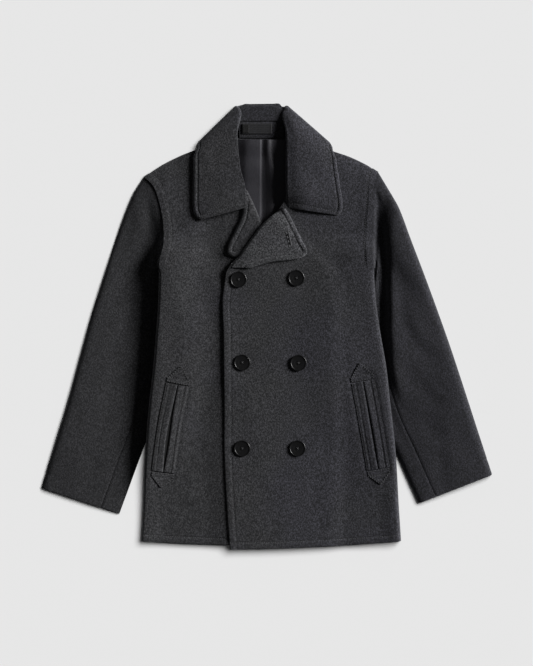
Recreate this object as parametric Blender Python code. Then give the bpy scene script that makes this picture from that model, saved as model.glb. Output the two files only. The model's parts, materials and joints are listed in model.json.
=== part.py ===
"""Double-breasted pea coat of melton wool, laid flat on its back and closed left over right.

Z = 0 is the surface that it lies on. +Y runs towards the collar, and +X is the wearer's left.
The origin is under the middle of the whole outline. Every outline point is (x, y) in metres.
"""

import math

import bpy
import numpy as np
from mathutils import Vector
from mathutils.bvhtree import BVHTree

# Cloth walls and the clearances between them.
WOOL = 0.003
COLLAR_WOOL = 0.0042
LAPEL_WOOL = 0.004
LINING = 0.001
WELT = 0.0018
GAP = 0.0004
SEAM = 0.00032

# Heights of the fronts' outer face above the surface.
FRONT_TOP = 0.016
OVERLAP_TOP = FRONT_TOP + WOOL + GAP
LAPEL_DIP = LAPEL_WOOL + 2 * GAP
SIDE_RISE = 0.007
SIDE_ROLL = 0.014
SHOULDER_ROLL = 0.060

# The body's sides lie on the inner halves of the sleeves.
TUCK_TOP = 0.0096
TUCK_LIFT = 0.0106
SLEEVE_TOP = 0.020
UNDERARM_Y = 0.1005

# The collar's fall passes under the back of the neck.
NECK_LIFT = COLLAR_WOOL + GAP
FOLD_RADIUS = 0.0090
ROLL_RADIUS = 0.005
ROLL_DEPTH = 0.0086

# Stitched edges: a raised band with a groove at its row of stitches.
STITCH_IN = 0.009
FRONT_STITCH_IN = 0.013
GROOVE = 0.0009
WELT_RAISE = 0.0010

BUTTON_RADIUS = 0.015
BUTTON_THICK = 0.0042
BUTTON_CENTRES = (
    ("upper_right", -0.0517, 0.0864),
    ("upper_left", 0.0549, 0.0892),
    ("middle_right", -0.0449, -0.0666),
    ("middle_left", 0.0586, -0.0673),
    ("lower_right", -0.0450, -0.2248),
    ("lower_left", 0.0569, -0.2248),
)

# Body outline, from the hem up to the underarm.
SIDE_RIGHT = (
    (-0.2325, -0.3961), (-0.2290, -0.3300), (-0.2230, -0.2150), (-0.2169, -0.1413),
    (-0.2093, -0.0738), (-0.2040, -0.0100), (-0.2001, 0.0488), (-0.1986, 0.1005),
)
SIDE_LEFT = (
    (0.2482, -0.3961), (0.2440, -0.3300), (0.2365, -0.2150), (0.2280, -0.1413),
    (0.2205, -0.0738), (0.2095, -0.0100), (0.2014, 0.0488), (0.1977, 0.1005),
)

# Armholes, from the underarm up to the shoulder's end.
ARMHOLE_RIGHT = (
    (-0.1986, 0.1005), (-0.1971, 0.1203), (-0.1901, 0.1513), (-0.1901, 0.1824),
    (-0.1971, 0.2250), (-0.2112, 0.2618), (-0.2269, 0.2760),
)
ARMHOLE_LEFT = (
    (0.1977, 0.1005), (0.1958, 0.1203), (0.1940, 0.1450), (0.1947, 0.1824),
    (0.1980, 0.2300), (0.2004, 0.2675), (0.2060, 0.2850),
)

# Shoulder seams, from the neck out.
SHOULDER_RIGHT = (
    (-0.0620, 0.3520), (-0.1000, 0.3390), (-0.1300, 0.3265), (-0.1650, 0.3125),
    (-0.1914, 0.2990), (-0.2269, 0.2760),
)
SHOULDER_LEFT = (
    (0.0500, 0.3520), (0.0900, 0.3370), (0.1220, 0.3235), (0.1560, 0.3120),
    (0.1850, 0.2980), (0.2060, 0.2850),
)

# Rows between the hem's stitching and the underarm, counted in side points, the same on
# every panel of the body.
LOW_ROWS = list(np.linspace(0.75, 7, 11))

# Free edges of the two fronts below the underarm line, from the hem up, one point for each
# point of the side outlines.
FREE_EDGE_RIGHT = (
    (0.0880, -0.4040), (0.0900, -0.3350), (0.0900, -0.2200), (0.0900, -0.1450),
    (0.0900, -0.0760), (0.0900, -0.0100), (0.0880, 0.0500), (0.0800, 0.1000),
)
FREE_EDGE_LEFT = (
    (-0.0680, -0.4110), (-0.0720, -0.3350), (-0.0790, -0.2200), (-0.0813, -0.1450),
    (-0.0805, -0.0760), (-0.0800, -0.0100), (-0.0812, 0.0500), (-0.0752, 0.0993),
)

# The V and the neckline above that line: the lapel's roll, then the seam under the collar.
NECK_EDGE_RIGHT = (
    (0.0800, 0.1000), (0.0500, 0.1340), (-0.0090, 0.1910), (-0.0220, 0.2210),
    (-0.0375, 0.2500), (-0.0445, 0.2720), (-0.0510, 0.2960), (-0.0540, 0.3260),
    (-0.0620, 0.3520),
)
NECK_EDGE_LEFT = (
    (-0.0752, 0.0993), (-0.0697, 0.1093), (-0.0497, 0.1321), (-0.0101, 0.1863),
    (0.0221, 0.2161), (0.0355, 0.2400), (0.0365, 0.2900), (0.0375, 0.3200),
    (0.0500, 0.3520),
)

# Sleeves: (outer x, outer y, inner x, inner y, top, blend to the armhole's height).
SLEEVE_RIGHT = (
    (-0.2455, 0.2480, -0.1992, 0.0860, 0.0180, 0.70),
    (-0.2620, 0.2100, -0.1968, 0.0680, 0.0195, 0.35),
    (-0.2780, 0.1650, -0.1905, 0.0460, 0.0200, 0.10),
    (-0.3000, 0.0980, -0.1815, 0.0120, 0.0200, 0.00),
    (-0.3240, 0.0220, -0.1780, -0.0330, 0.0200, 0.00),
    (-0.3450, -0.0530, -0.1830, -0.0960, 0.0200, 0.00),
    (-0.3673, -0.1352, -0.2060, -0.1680, 0.0200, 0.00),
    (-0.3920, -0.2160, -0.2357, -0.2480, 0.0190, 0.00),
    (-0.4085, -0.2705, -0.2590, -0.3115, 0.0175, 0.00),
    (-0.4169, -0.2993, -0.2720, -0.3469, 0.0165, 0.00),
)
SLEEVE_LEFT = (
    (0.2260, 0.2520, 0.1988, 0.0860, 0.0180, 0.70),
    (0.2430, 0.2222, 0.1968, 0.0680, 0.0195, 0.35),
    (0.2620, 0.1730, 0.1905, 0.0460, 0.0200, 0.10),
    (0.2905, 0.0980, 0.1820, 0.0120, 0.0200, 0.00),
    (0.3155, 0.0300, 0.1790, -0.0330, 0.0200, 0.00),
    (0.3385, -0.0350, 0.1870, -0.0960, 0.0200, 0.00),
    (0.3640, -0.1120, 0.2080, -0.1680, 0.0200, 0.00),
    (0.3890, -0.1890, 0.2400, -0.2400, 0.0190, 0.00),
    (0.4080, -0.2470, 0.2660, -0.2980, 0.0175, 0.00),
    (0.4169, -0.2740, 0.2794, -0.3278, 0.0165, 0.00),
)
FRONT_SEAM_IN = 0.036
MID_COLUMNS = 4
ELBOW_SEAM_IN = 0.026
# Rolled sleeve edge: (distance in from the edge, share of the sleeve's height).
ROLLED_TOP = ((0.0, 0.42), (0.0025, 0.74), (0.008, 0.95), (0.018, 1.0))
ROLLED_INNER_TOP = ((0.0, 0.45), (0.002, 0.75), (0.006, 0.94), (0.013, 1.0))
ROLLED_BASE = ((0.0012, 0.16), (0.004, 0.0), (0.012, 0.0))

# Collar leaves, from the front end to the shoulder: (roll x, roll y, roll z, free x, free y, free z).
LEAF_RIGHT = (
    (-0.0376, 0.2190, 0.0250, -0.1215, 0.1962, 0.0209),
    (-0.0376, 0.2225, 0.0250, -0.1290, 0.2010, 0.0209),
    (-0.0376, 0.2290, 0.0250, -0.1345, 0.2100, 0.0209),
    (-0.0378, 0.2390, 0.0250, -0.1362, 0.2235, 0.0209),
    (-0.0400, 0.2600, 0.0252, -0.1363, 0.2530, 0.0209),
    (-0.0480, 0.2900, 0.0252, -0.1360, 0.2800, 0.0206),
    (-0.0518, 0.3230, 0.0245, -0.1357, 0.2990, 0.0203),
    (-0.0540, 0.3550, 0.0225, -0.1355, 0.3110, 0.0196),
)
LEAF_LEFT = (
    (0.0376, 0.2185, 0.0250, 0.1290, 0.2045, 0.0209),
    (0.0372, 0.2225, 0.0250, 0.1355, 0.2080, 0.0209),
    (0.0362, 0.2300, 0.0250, 0.1395, 0.2150, 0.0209),
    (0.0358, 0.2400, 0.0250, 0.1400, 0.2260, 0.0209),
    (0.0352, 0.2600, 0.0252, 0.1365, 0.2520, 0.0209),
    (0.0350, 0.2900, 0.0252, 0.1325, 0.2790, 0.0206),
    (0.0350, 0.3230, 0.0245, 0.1298, 0.2970, 0.0203),
    (0.0350, 0.3550, 0.0225, 0.1280, 0.3090, 0.0196),
)
# The collar turns to behind along these lines, from the neck to the free edge.
FOLD_RIGHT = ((-0.0560, 0.4095), (-0.1345, 0.3330))
FOLD_LEFT = ((0.0365, 0.4100), (0.1270, 0.3310))
# Behind the neck: (roll x, roll y, free x, free y), wearer's right to left.
FALL_BEHIND = (
    (-0.0430, 0.4100, -0.1050, 0.3175),
    (-0.0290, 0.4107, -0.0700, 0.3160),
    (-0.0095, 0.4110, -0.0095, 0.3150),
    (0.0100, 0.4112, 0.0500, 0.3160),
    (0.0240, 0.4108, 0.0880, 0.3175),
)

# Lapels, from the top down: (roll x, roll y, outer x, outer y).
LAPEL_LEFT = (
    (0.0285, 0.2190, 0.0355, 0.2160),
    (0.0222, 0.2135, 0.0420, 0.2060),
    (0.0060, 0.2015, 0.0535, 0.1830),
    (-0.0101, 0.1863, 0.0655, 0.1580),
    (-0.0300, 0.1600, 0.0745, 0.1385),
    (-0.0420, 0.1430, 0.0712, 0.1312),
    (-0.0497, 0.1321, 0.0640, 0.1268),
    (-0.0620, 0.1180, 0.0000, 0.1165),
    (-0.0685, 0.1085, -0.0330, 0.1068),
)
LAPEL_RIGHT = (
    (-0.0365, 0.2520, -0.0425, 0.2330),
    (-0.0300, 0.2390, -0.0440, 0.2180),
    (-0.0220, 0.2220, -0.0460, 0.2040),
    (-0.0088, 0.1913, -0.0600, 0.1725),
    (-0.0010, 0.1800, -0.0725, 0.1440),
    (-0.0060, 0.1700, -0.0722, 0.1350),
    (-0.0160, 0.1560, -0.0640, 0.1290),
    (-0.0270, 0.1420, -0.0560, 0.1275),
)

# Places across the shoulders and neck where the back's columns run.
BACK_COLUMNS = (
    -0.2269, -0.2180, -0.2060, -0.1920, -0.1760, -0.1560, -0.1300, -0.0960, -0.0620, -0.0500,
    -0.0095, 0.0320, 0.0500, 0.0780, 0.1070, 0.1330, 0.1540, 0.1710, 0.1850, 0.1970, 0.2060,
)

STAND_BOTTOM = ((-0.0500, 0.3482), (-0.0095, 0.3474), (0.0310, 0.3496))
STAND_TOP = (
    (-0.0500, 0.3960), (-0.0430, 0.4010), (-0.0300, 0.4048), (-0.0095, 0.4055),
    (0.0100, 0.4052), (0.0240, 0.4020), (0.0310, 0.3970),
)
LOOP_X = (-0.0456, 0.0099)
LOOP_Y = (0.3552, 0.3745)
LOOP_THICK = 0.0012

# Lining across the V: (x, height of its pleats).
LINING_PLEATS = (
    (-0.074, 0.0), (-0.050, 0.0), (-0.040, 0.0003), (-0.034, 0.0022), (-0.022, 0.0026),
    (-0.017, 0.0006), (-0.0105, 0.0024), (-0.007, 0.0), (-0.001, 0.0006),
    (0.005, 0.0018), (0.011, 0.0002), (0.022, 0.0008), (0.034, 0.0), (0.058, 0.0),
)
LINING_Y = (0.150, 0.190, 0.230, 0.270, 0.300, 0.325, 0.3445)

# Pockets: slit from top to bottom, with a welt on each side and a tack at each end.
POCKET_RIGHT = ((-0.1640, -0.1080), (-0.1790, -0.1850), (-0.1905, -0.2680))
POCKET_LEFT = ((0.1775, -0.1020), (0.1925, -0.1850), (0.2055, -0.2620))
WELT_WIDE = 0.0205
SLIT_HALF = 0.0011
TACK_BAND = 0.0065
TACK_HALF = 0.0195
TACK_HIGH = 0.0225

CHARCOAL = (0.045, 0.045, 0.048)
LINING_GREY = (0.035, 0.034, 0.039)
BLACK = (0.006, 0.006, 0.007)


def ease(value):
    """0 below 0, 1 above 1, and a smooth rise between."""
    share = np.clip(value, 0.0, 1.0)
    return share * share * (3 - 2 * share)


def rolled(distance, radius):
    """Share of full height at this distance in from a rounded edge."""
    left = 1 - np.clip(distance / radius, 0.0, 1.0)
    return np.sqrt(1 - left * left)


def between(value, places, heights):
    """Straight-line reading of one named quantity along another, in rising order."""
    return np.interp(value, places, heights)


def read_line(points, places):
    """A smooth line through the points, read at places counted in points from 0."""
    points = np.asarray(points, float)
    steps = np.linalg.norm(np.diff(points, axis=0), axis=1)
    slopes = np.diff(points, axis=0) / steps[:, None]
    tangents = np.empty_like(points)
    tangents[0], tangents[-1] = slopes[0], slopes[-1]
    before, after = steps[:-1, None], steps[1:, None]
    tangents[1:-1] = (slopes[:-1] * after + slopes[1:] * before) / (before + after)
    found = []
    for place in places:
        i = min(int(place), len(steps) - 1)
        t = place - i
        found.append(
            (2 * t**3 - 3 * t**2 + 1) * points[i]
            + (t**3 - 2 * t**2 + t) * steps[i] * tangents[i]
            + (3 * t**2 - 2 * t**3) * points[i + 1]
            + (t**3 - t**2) * steps[i] * tangents[i + 1]
        )
    return np.array(found)


def read_length(points, shares):
    """The same smooth line, read at shares of its whole length."""
    fine = np.linspace(0, len(points) - 1, 40 * (len(points) - 1) + 1)
    line = read_line(points, fine)
    run = np.concatenate([[0], np.cumsum(np.linalg.norm(np.diff(line, axis=0), axis=1))])
    return read_line(points, between(np.asarray(shares) * run[-1], run, fine))


def span(start, end, count):
    return list(np.linspace(start, end, count))


def patch(bottom, top, first, last):
    """Plan grid between four edges: rows run along first and last, columns along bottom and top."""
    u = np.linspace(0, 1, len(bottom))
    along = np.linalg.norm(np.diff(bottom, axis=0), axis=1)
    u[1:] = np.cumsum(along) / along.sum()
    v = np.linspace(0, 1, len(first))
    rise = np.linalg.norm(np.diff(last, axis=0), axis=1)
    v[1:] = np.cumsum(rise) / rise.sum()
    u, v = u[None, :, None], v[:, None, None]
    ruled = (1 - v) * bottom[None] + v * top[None] + (1 - u) * first[:, None] + u * last[:, None]
    corners = (1 - v) * ((1 - u) * bottom[0] + u * bottom[-1])
    return ruled - corners - v * ((1 - u) * top[0] + u * top[-1])


def material(name, colour, roughness):
    made = bpy.data.materials.new(name)
    made.use_nodes = True
    shader = made.node_tree.nodes["Principled BSDF"]
    shader.inputs["Base Color"].default_value = (*colour, 1)
    shader.inputs["Roughness"].default_value = roughness
    return made


def triangles(rows, columns, flip):
    """Triangles of a grid, facing the side from which columns and rows run anticlockwise."""
    faces = []
    for i in range(rows - 1):
        for j in range(columns - 1):
            a, b = i * columns + j, i * columns + j + 1
            c, d = b + columns, a + columns
            faces += [(a, b, c), (a, c, d)]
    return [face[::-1] for face in faces] if flip else faces


def outward(grid, flip):
    """Unit vectors square to a grid of points, level at a rim that stands on edge."""
    across, along = np.gradient(grid, axis=1), np.gradient(grid, axis=0)
    facing = np.cross(along, across) if flip else np.cross(across, along)
    facing /= np.linalg.norm(facing, axis=2)[..., None]
    ends = ((np.s_[0], across), (np.s_[-1], across))
    sides = ((np.s_[:, 0], along), (np.s_[:, -1], along))
    for rim, run in ends + sides:
        steep = np.abs(facing[rim][:, 2]) < 0.6
        facing[rim][steep, 2] = 0
        square = np.stack([run[rim][:, 1], -run[rim][:, 0], np.zeros(len(steep))], axis=1)
        square /= np.maximum(np.linalg.norm(square, axis=1), 1e-9)[:, None]
        square[steep] = 0
        facing[rim] -= square * np.sum(facing[rim] * square, axis=1)[:, None]
    return facing / np.linalg.norm(facing, axis=2)[..., None]


def faces_down(grid):
    facing = np.cross(np.gradient(grid, axis=1), np.gradient(grid, axis=0))
    return facing[..., 2].sum() < 0


def cloth(name, grid, wall, raised=0.0, colour=CHARCOAL, roughness=0.95, flip=None, facing=None):
    """A sheet: its outer face is the grid, raised where stitching lifts it, over a plain inside."""
    flip = faces_down(grid) if flip is None else flip
    rows, columns = grid.shape[:2]
    facing = outward(grid, flip) if facing is None else facing
    raised = np.broadcast_to(raised, (rows, columns))[..., None]
    skins = [grid + facing * raised, grid - facing * wall]
    points = [tuple(point) for skin in skins for point in skin.reshape(-1, 3)]
    count = rows * columns
    outer = triangles(rows, columns, flip)
    faces = outer + [tuple(k + count for k in face[::-1]) for face in outer]
    rim = [(0, j) for j in range(columns)] + [(i, columns - 1) for i in range(1, rows)]
    rim += [(rows - 1, j) for j in range(columns - 2, -1, -1)]
    rim += [(i, 0) for i in range(rows - 2, 0, -1)]
    loop = [i * columns + j for i, j in rim]
    for a, b in zip(loop, loop[1:] + loop[:1]):
        faces.append((a, a + count, b + count, b)[:: -1 if flip else 1])
    mesh = bpy.data.meshes.new(name)
    mesh.from_pydata(points, [], faces)
    mesh.shade_smooth()
    mesh.set_sharp_from_angle(angle=math.radians(50))
    mesh.materials.append(material(name, colour, roughness))
    sheet = bpy.data.objects.new(name, mesh)
    bpy.context.scene.collection.objects.link(sheet)
    return sheet


def surface(sheet):
    """The facets of a sheet, for laying another piece on it."""
    points = [vertex.co for vertex in sheet.data.vertices]
    return BVHTree.FromPolygons(points, [tuple(face.vertices) for face in sheet.data.polygons])


def height_on(facets, x, y, reach=0.0):
    """Highest point of the facets within reach of (x, y)."""
    highest = None
    for dx, dy in ((0, 0), (reach, 0), (-reach, 0), (0, reach), (0, -reach)):
        hit = facets.ray_cast(Vector((x + dx, y + dy, 0.2)), Vector((0, 0, -1)))[0]
        if hit is not None and (highest is None or hit.z > highest):
            highest = hit.z
    return highest


def remove_all():
    for old in list(bpy.data.objects):
        bpy.data.objects.remove(old)


# ---- heights of the body's layers ----


def body_edge(y, side):
    """x of the body's outline at this height, held at the underarm above it."""
    line = read_line(side, span(0, len(side) - 1, 60))
    return between(np.minimum(y, UNDERARM_Y), line[:, 1], line[:, 0])


def sleeve_inner_edge(y, stations):
    """x of the sleeve's inner edge under the body, from the cuff to the underarm."""
    points = [(row[3], row[2]) for row in stations][::-1]
    return between(y, [p[0] for p in points], [p[1] for p in points])


def tucked(x, y, full, fade):
    """Share of the lift over the tucked sleeves at a body point."""
    right = sleeve_inner_edge(y, SLEEVE_RIGHT) + full - x
    left = x - sleeve_inner_edge(y, SLEEVE_LEFT) + full
    inward = np.maximum(right, left)
    return ease(1 + inward / fade) * ease((0.175 - y) / 0.045)


def neck_lifted(x, y):
    """Share of the lift over the collar's hidden fall."""
    return ease((y - 0.255) / 0.045) * ease((0.172 - np.abs(x + 0.003)) / 0.034)


def back_base(x, y):
    return np.maximum(TUCK_LIFT * tucked(x, y, 0.012, 0.040), NECK_LIFT * neck_lifted(x, y))


def shoulder_in(x, y):
    """Distance in from the shoulder seam."""
    seam = np.array(SHOULDER_RIGHT[::-1] + SHOULDER_LEFT)
    return np.maximum(between(x, seam[:, 0], seam[:, 1]) - y, 0) * 0.91


def front_top(x, y, side):
    """Outer face of a front, before its free edge and its stitching."""
    level = FRONT_TOP + SIDE_RISE * tucked(x, y, 0.028, 0.060)
    base = 2 * WOOL + 2 * GAP + NECK_LIFT * neck_lifted(x, y)
    level = base + (level - base) * rolled(shoulder_in(x, y), SHOULDER_ROLL)
    edge = back_base(x, y) + WOOL + 2 * GAP
    inward = np.abs(body_edge(y, side) - x)
    folded = edge + (level - edge) * rolled(inward, SIDE_ROLL)
    share = ease((UNDERARM_Y + 0.008 - y) / 0.018)
    return folded * share + level * (1 - share)


def lapel_bed(x, y):
    """How far the right front sinks where its own lapel lies on it, beside the V."""
    middle_y = np.clip(y, 0.150, 0.212)
    away = np.hypot(x + 0.036, y - middle_y)
    return LAPEL_DIP * ease((0.104 - away) / 0.044)


def overlapped(x, y):
    """Share of the left front's height that it owes to the right front under it."""
    line = read_line(FREE_EDGE_RIGHT + NECK_EDGE_RIGHT[1:6], span(0, 12, 80))
    edge = between(y, line[:, 1], line[:, 0])
    past = 0.060 - 0.028 * ease((y - 0.185) / 0.030)
    return ease((edge + past - x) / 0.034)


def groove(distance, stitch_in):
    """Outer face beside a stitched edge: sunk at the row of stitches."""
    return -GROOVE * (np.abs(distance - stitch_in) < 0.0006)


def edge_columns(width, stitch_in, count):
    """Shares across a panel from a stitched edge to a rolled one, fine at both."""
    start = [0.0, 0.0015, stitch_in - 0.002, stitch_in, stitch_in + 0.002]
    end = [0.036, 0.022, SIDE_ROLL, 0.0125, 0.0095, 0.006, 0.0025, 0.0007, 0.0]
    middle = span(stitch_in + 0.002, width - 0.036, count + 2)[1:-1]
    return np.array(start + middle + [width - inward for inward in end]) / width


def armhole_shares(armhole):
    """Shares of the armhole's length at the sleeve's columns, from the underarm up."""
    line = read_line(armhole, span(0, len(armhole) - 1, 200))
    length = np.linalg.norm(np.diff(line, axis=0), axis=1).sum()
    inner = [row[0] for row in ROLLED_INNER_TOP] + [0.022, FRONT_SEAM_IN]
    outer = [length - row[0] for row in ROLLED_TOP[::-1]]
    middle = span(FRONT_SEAM_IN, outer[0], MID_COLUMNS + 2)[1:-1]
    return np.array(inner + middle + outer) / length


def front_grid(name):
    """Outer face of the wearer's right or left front, rows from the hem to the shoulder."""
    right = name == "right"
    side = SIDE_RIGHT if right else SIDE_LEFT
    armhole = ARMHOLE_RIGHT if right else ARMHOLE_LEFT
    free = FREE_EDGE_RIGHT if right else FREE_EDGE_LEFT
    neck = NECK_EDGE_RIGHT if right else NECK_EDGE_LEFT
    shoulder = SHOULDER_RIGHT if right else SHOULDER_LEFT
    low = [0, 0.03, 0.13, 0.165, 0.2] + LOW_ROWS
    shares = armhole_shares(armhole)[1:]
    first = np.concatenate([read_line(free, low), read_length(neck, shares)])
    last = np.concatenate([read_line(side, low), read_length(armhole, shares)])
    across = edge_columns(0.30, FRONT_STITCH_IN, 5)
    sag = 0.004 * np.sin(math.pi * across) ** 0.7
    bottom = first[0] + across[:, None] * (last[0] - first[0])
    bottom[:, 1] -= sag
    plan = patch(bottom, read_length(shoulder, across), first, last)
    x, y = plan[..., 0], plan[..., 1]
    z = front_top(x, y, side)
    raised = np.zeros_like(z)
    if right:
        z = z - lapel_bed(x, y)
    else:
        z = z + (OVERLAP_TOP - FRONT_TOP) * overlapped(x, y)
        from_edge = np.hypot(x - first[:, None, 0], y - first[:, None, 1])
        raised += groove(from_edge, FRONT_STITCH_IN) * ease((0.095 - y) / 0.02)
    inward = np.hypot(x - last[:, None, 0], y - last[:, None, 1])
    hem = np.hypot(x - x[:1], y - y[:1])
    raised -= GROOVE * (np.abs(hem - 0.0125) < 0.0025) * (inward > 0.006)
    raised += WELT_RAISE * (inward < 0.0127) * ease((y - UNDERARM_Y - 0.004) / 0.02)
    return np.dstack([plan, z]), raised


def make_fronts():
    facets = {}
    for name in ("right", "left"):
        grid, raised = front_grid(name)
        facets[name] = surface(cloth(f"front_{name}", grid, WOOL, raised))
    return facets


def make_back():
    """The back panel, one piece, with its outer face on the surface."""
    low = [0, 0.2] + LOW_ROWS
    shares_right = armhole_shares(ARMHOLE_RIGHT)[1:]
    shares_left = armhole_shares(ARMHOLE_LEFT)[1:]
    first = np.concatenate(
        [read_line(SIDE_RIGHT, low), read_length(ARMHOLE_RIGHT, shares_right)]
    )
    last = np.concatenate(
        [read_line(SIDE_LEFT, low), read_length(ARMHOLE_LEFT, shares_left)]
    )
    across = (np.array(BACK_COLUMNS) - BACK_COLUMNS[0]) / (BACK_COLUMNS[-1] - BACK_COLUMNS[0])
    bottom = first[0] + across[:, None] * (last[0] - first[0])
    bottom[:, 1] -= 0.010 * np.sin(math.pi * across) ** 0.6
    neckline = ((-0.0620, 0.3520), (-0.0500, 0.3465), (-0.0095, 0.3458), (0.0320, 0.3476))
    edge = np.array(SHOULDER_RIGHT[::-1] + neckline[1:] + SHOULDER_LEFT)
    top_x = edge[0, 0] + across * (edge[-1, 0] - edge[0, 0])
    top = np.stack([top_x, between(top_x, edge[:, 0], edge[:, 1])], axis=1)
    plan = patch(bottom, top, first, last)
    z = back_base(plan[..., 0], plan[..., 1])
    cloth("back", np.dstack([plan, z]), WOOL, flip=True)


# ---- sleeves ----


def sleeve_top(x, y, side):
    """Height of a sleeve away from its edges: low where the body lies on it."""
    edge = body_edge(y, side)
    outside = np.abs(x) - np.abs(edge) + 0.9 * np.maximum(y - UNDERARM_Y, 0)
    return TUCK_TOP, ease((outside - 0.014) / 0.050)


def sleeve_ring(start, end, seam_line, edge_z, crest, blend, bowed, side):
    """One ring of a sleeve's outer face, from the elbow seam round the outer edge and back."""
    width = np.linalg.norm(end - start)
    across = (end - start) / width
    outer_in = [row[0] for row in ROLLED_TOP]
    inner_in = [FRONT_SEAM_IN, 0.022] + [row[0] for row in ROLLED_INNER_TOP[::-1]]
    shares = [row[1] for row in ROLLED_TOP] + [1.0] * (MID_COLUMNS + 2)
    shares += [row[1] for row in ROLLED_INNER_TOP[::-1]]
    reach = outer_in + span(outer_in[-1], width - FRONT_SEAM_IN, MID_COLUMNS + 2)[1:-1]
    reach += [width - inward for inward in inner_in]
    chord = seam_line[-1] - seam_line[0]
    top = []
    for j, distance in enumerate(reach):
        run = np.dot(seam_line[j] - seam_line[0], chord) / np.dot(chord, chord)
        bow = seam_line[j] - seam_line[0] - run * chord
        share = distance / width * (1 - bowed) + run * bowed
        point = start + (end - start) * share + bow * bowed
        low, share = sleeve_top(point[0], point[1], side)
        own = (low + (crest - low) * share) * shares[j]
        met = min(edge_z[j], low + (SLEEVE_TOP - low) * share)
        if j in (0, len(reach) - 1):
            met = own * (0.45 if j == 0 else 0.9)
        top.append(np.append(point, own + (met - own) * blend))
    top = np.array(top)

    def base(distance, lift):
        """A point on the underside, below the top's own line."""
        j = between(distance, reach, range(len(reach)))
        x, y = (between(j, range(len(reach)), top[:, axis]) for axis in (0, 1))
        return np.array([x, y, lift])

    outer = [base(ELBOW_SEAM_IN, 0.0)]
    outer += [base(row[0], row[1] * top[0, 2] / ROLLED_TOP[0][1]) for row in ROLLED_BASE[::-1]]
    inner = [
        base(width - row[0], row[1] * top[-1, 2] / ROLLED_INNER_TOP[0][1]) for row in ROLLED_BASE
    ]
    inner += [base(0.65 * width, 0.0), base(0.4 * width, 0.0), base(ELBOW_SEAM_IN, 0.0)]
    return np.array(outer + list(top) + inner)


def make_sleeve(name, stations, side, armhole):
    """Two pieces round one run of rings: the upper sleeve and the under sleeve."""
    shares = armhole_shares(armhole)[::-1]
    sign = -1 if side is SIDE_RIGHT else 1
    seam_line = read_length(armhole, shares) + SEAM * np.array((sign, 0))
    edge_z = front_top(seam_line[:, 0], seam_line[:, 1], side) - 0.0006
    rows = [(*seam_line[0], *seam_line[-1], SLEEVE_TOP, 1.0), *stations]
    places = np.array(span(0, 3, 7) + span(4, len(rows) - 1, len(rows) - 4))
    starts = read_line([row[:2] for row in rows], places)
    ends = read_line([row[2:4] for row in rows], places)
    crest = between(places, range(len(rows)), [row[4] for row in rows])
    blend = between(places, range(len(rows)), [row[5] for row in rows])
    bowed = np.clip(1 - places / 3, 0, 1) ** 1.5
    rings = np.array([
        sleeve_ring(starts[k], ends[k], seam_line, edge_z, crest[k], blend[k], bowed[k], side)
        for k in range(len(places))
    ])
    wrapped = np.concatenate([rings[:, -2:-1], rings, rings[:, 1:2]], axis=1)
    facing = outward(wrapped, sign < 0)[:, 1:-1]
    run = np.gradient(rings[0, :, :2], axis=0)
    square = np.stack([run[:, 1], -run[:, 0], np.zeros(len(run))], axis=1)
    square /= np.linalg.norm(square, axis=1)[:, None]
    facing[0] -= square * np.sum(facing[0] * square, axis=1)[:, None]
    facing[0] /= np.linalg.norm(facing[0], axis=1)[:, None]
    seam = 1 + len(ROLLED_BASE) + len(ROLLED_TOP) + MID_COLUMNS
    for part, first, last in (("upper", 0, seam), ("under", seam, rings.shape[1] - 1)):
        grid = rings[:, first : last + 1].copy()
        for column, inner in ((0, 1), (-1, -2)):
            back_in = grid[:, inner] - grid[:, column]
            back_in /= np.linalg.norm(back_in, axis=1)[:, None]
            grid[:, column] += back_in * 1.5 * SEAM
        cloth(
            f"sleeve_{name}_{part}", grid, WOOL,
            flip=sign < 0, facing=facing[:, first : last + 1],
        )


# ---- collar, lapels and neck ----


def fold_stations(line, outward):
    """Collar stations that turn from the top of the leaf to behind, round one fold line."""
    near, far = np.array(line[0]), np.array(line[1])
    made = []
    for angle in (12, 50, 90, 130, 168):
        turn = math.radians(angle)
        inward = FOLD_RADIUS * (1 - math.sin(turn))
        z = FOLD_RADIUS * (1 + math.cos(turn))
        shift = -np.array(outward) * inward
        made.append((np.append(near + shift, z), np.append(far + shift, z), turn))
    return made


def collar_row(roll, free, normal):
    """One line of the collar's outer face, from inside its roll to its free edge."""
    along = (free - roll) / np.linalg.norm(free - roll)
    length = np.linalg.norm(free - roll)
    row = [roll - normal * ROLL_DEPTH]
    for angle in (90, 60, 30):
        turn = math.radians(angle)
        inward = ROLL_RADIUS * (1 - math.sin(turn))
        row.append(roll + along * inward - normal * ROLL_RADIUS * (1 - math.cos(turn)))
    flat = [ROLL_RADIUS, 0.022, 0.5 * length, length - 0.024]
    for distance in flat + [length - STITCH_IN - 0.002]:
        row.append(roll + along * distance)
    for inward in (STITCH_IN, STITCH_IN - 0.002, 0.0012, 0.0):
        row.append(free - along * inward)
    return row


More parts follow.
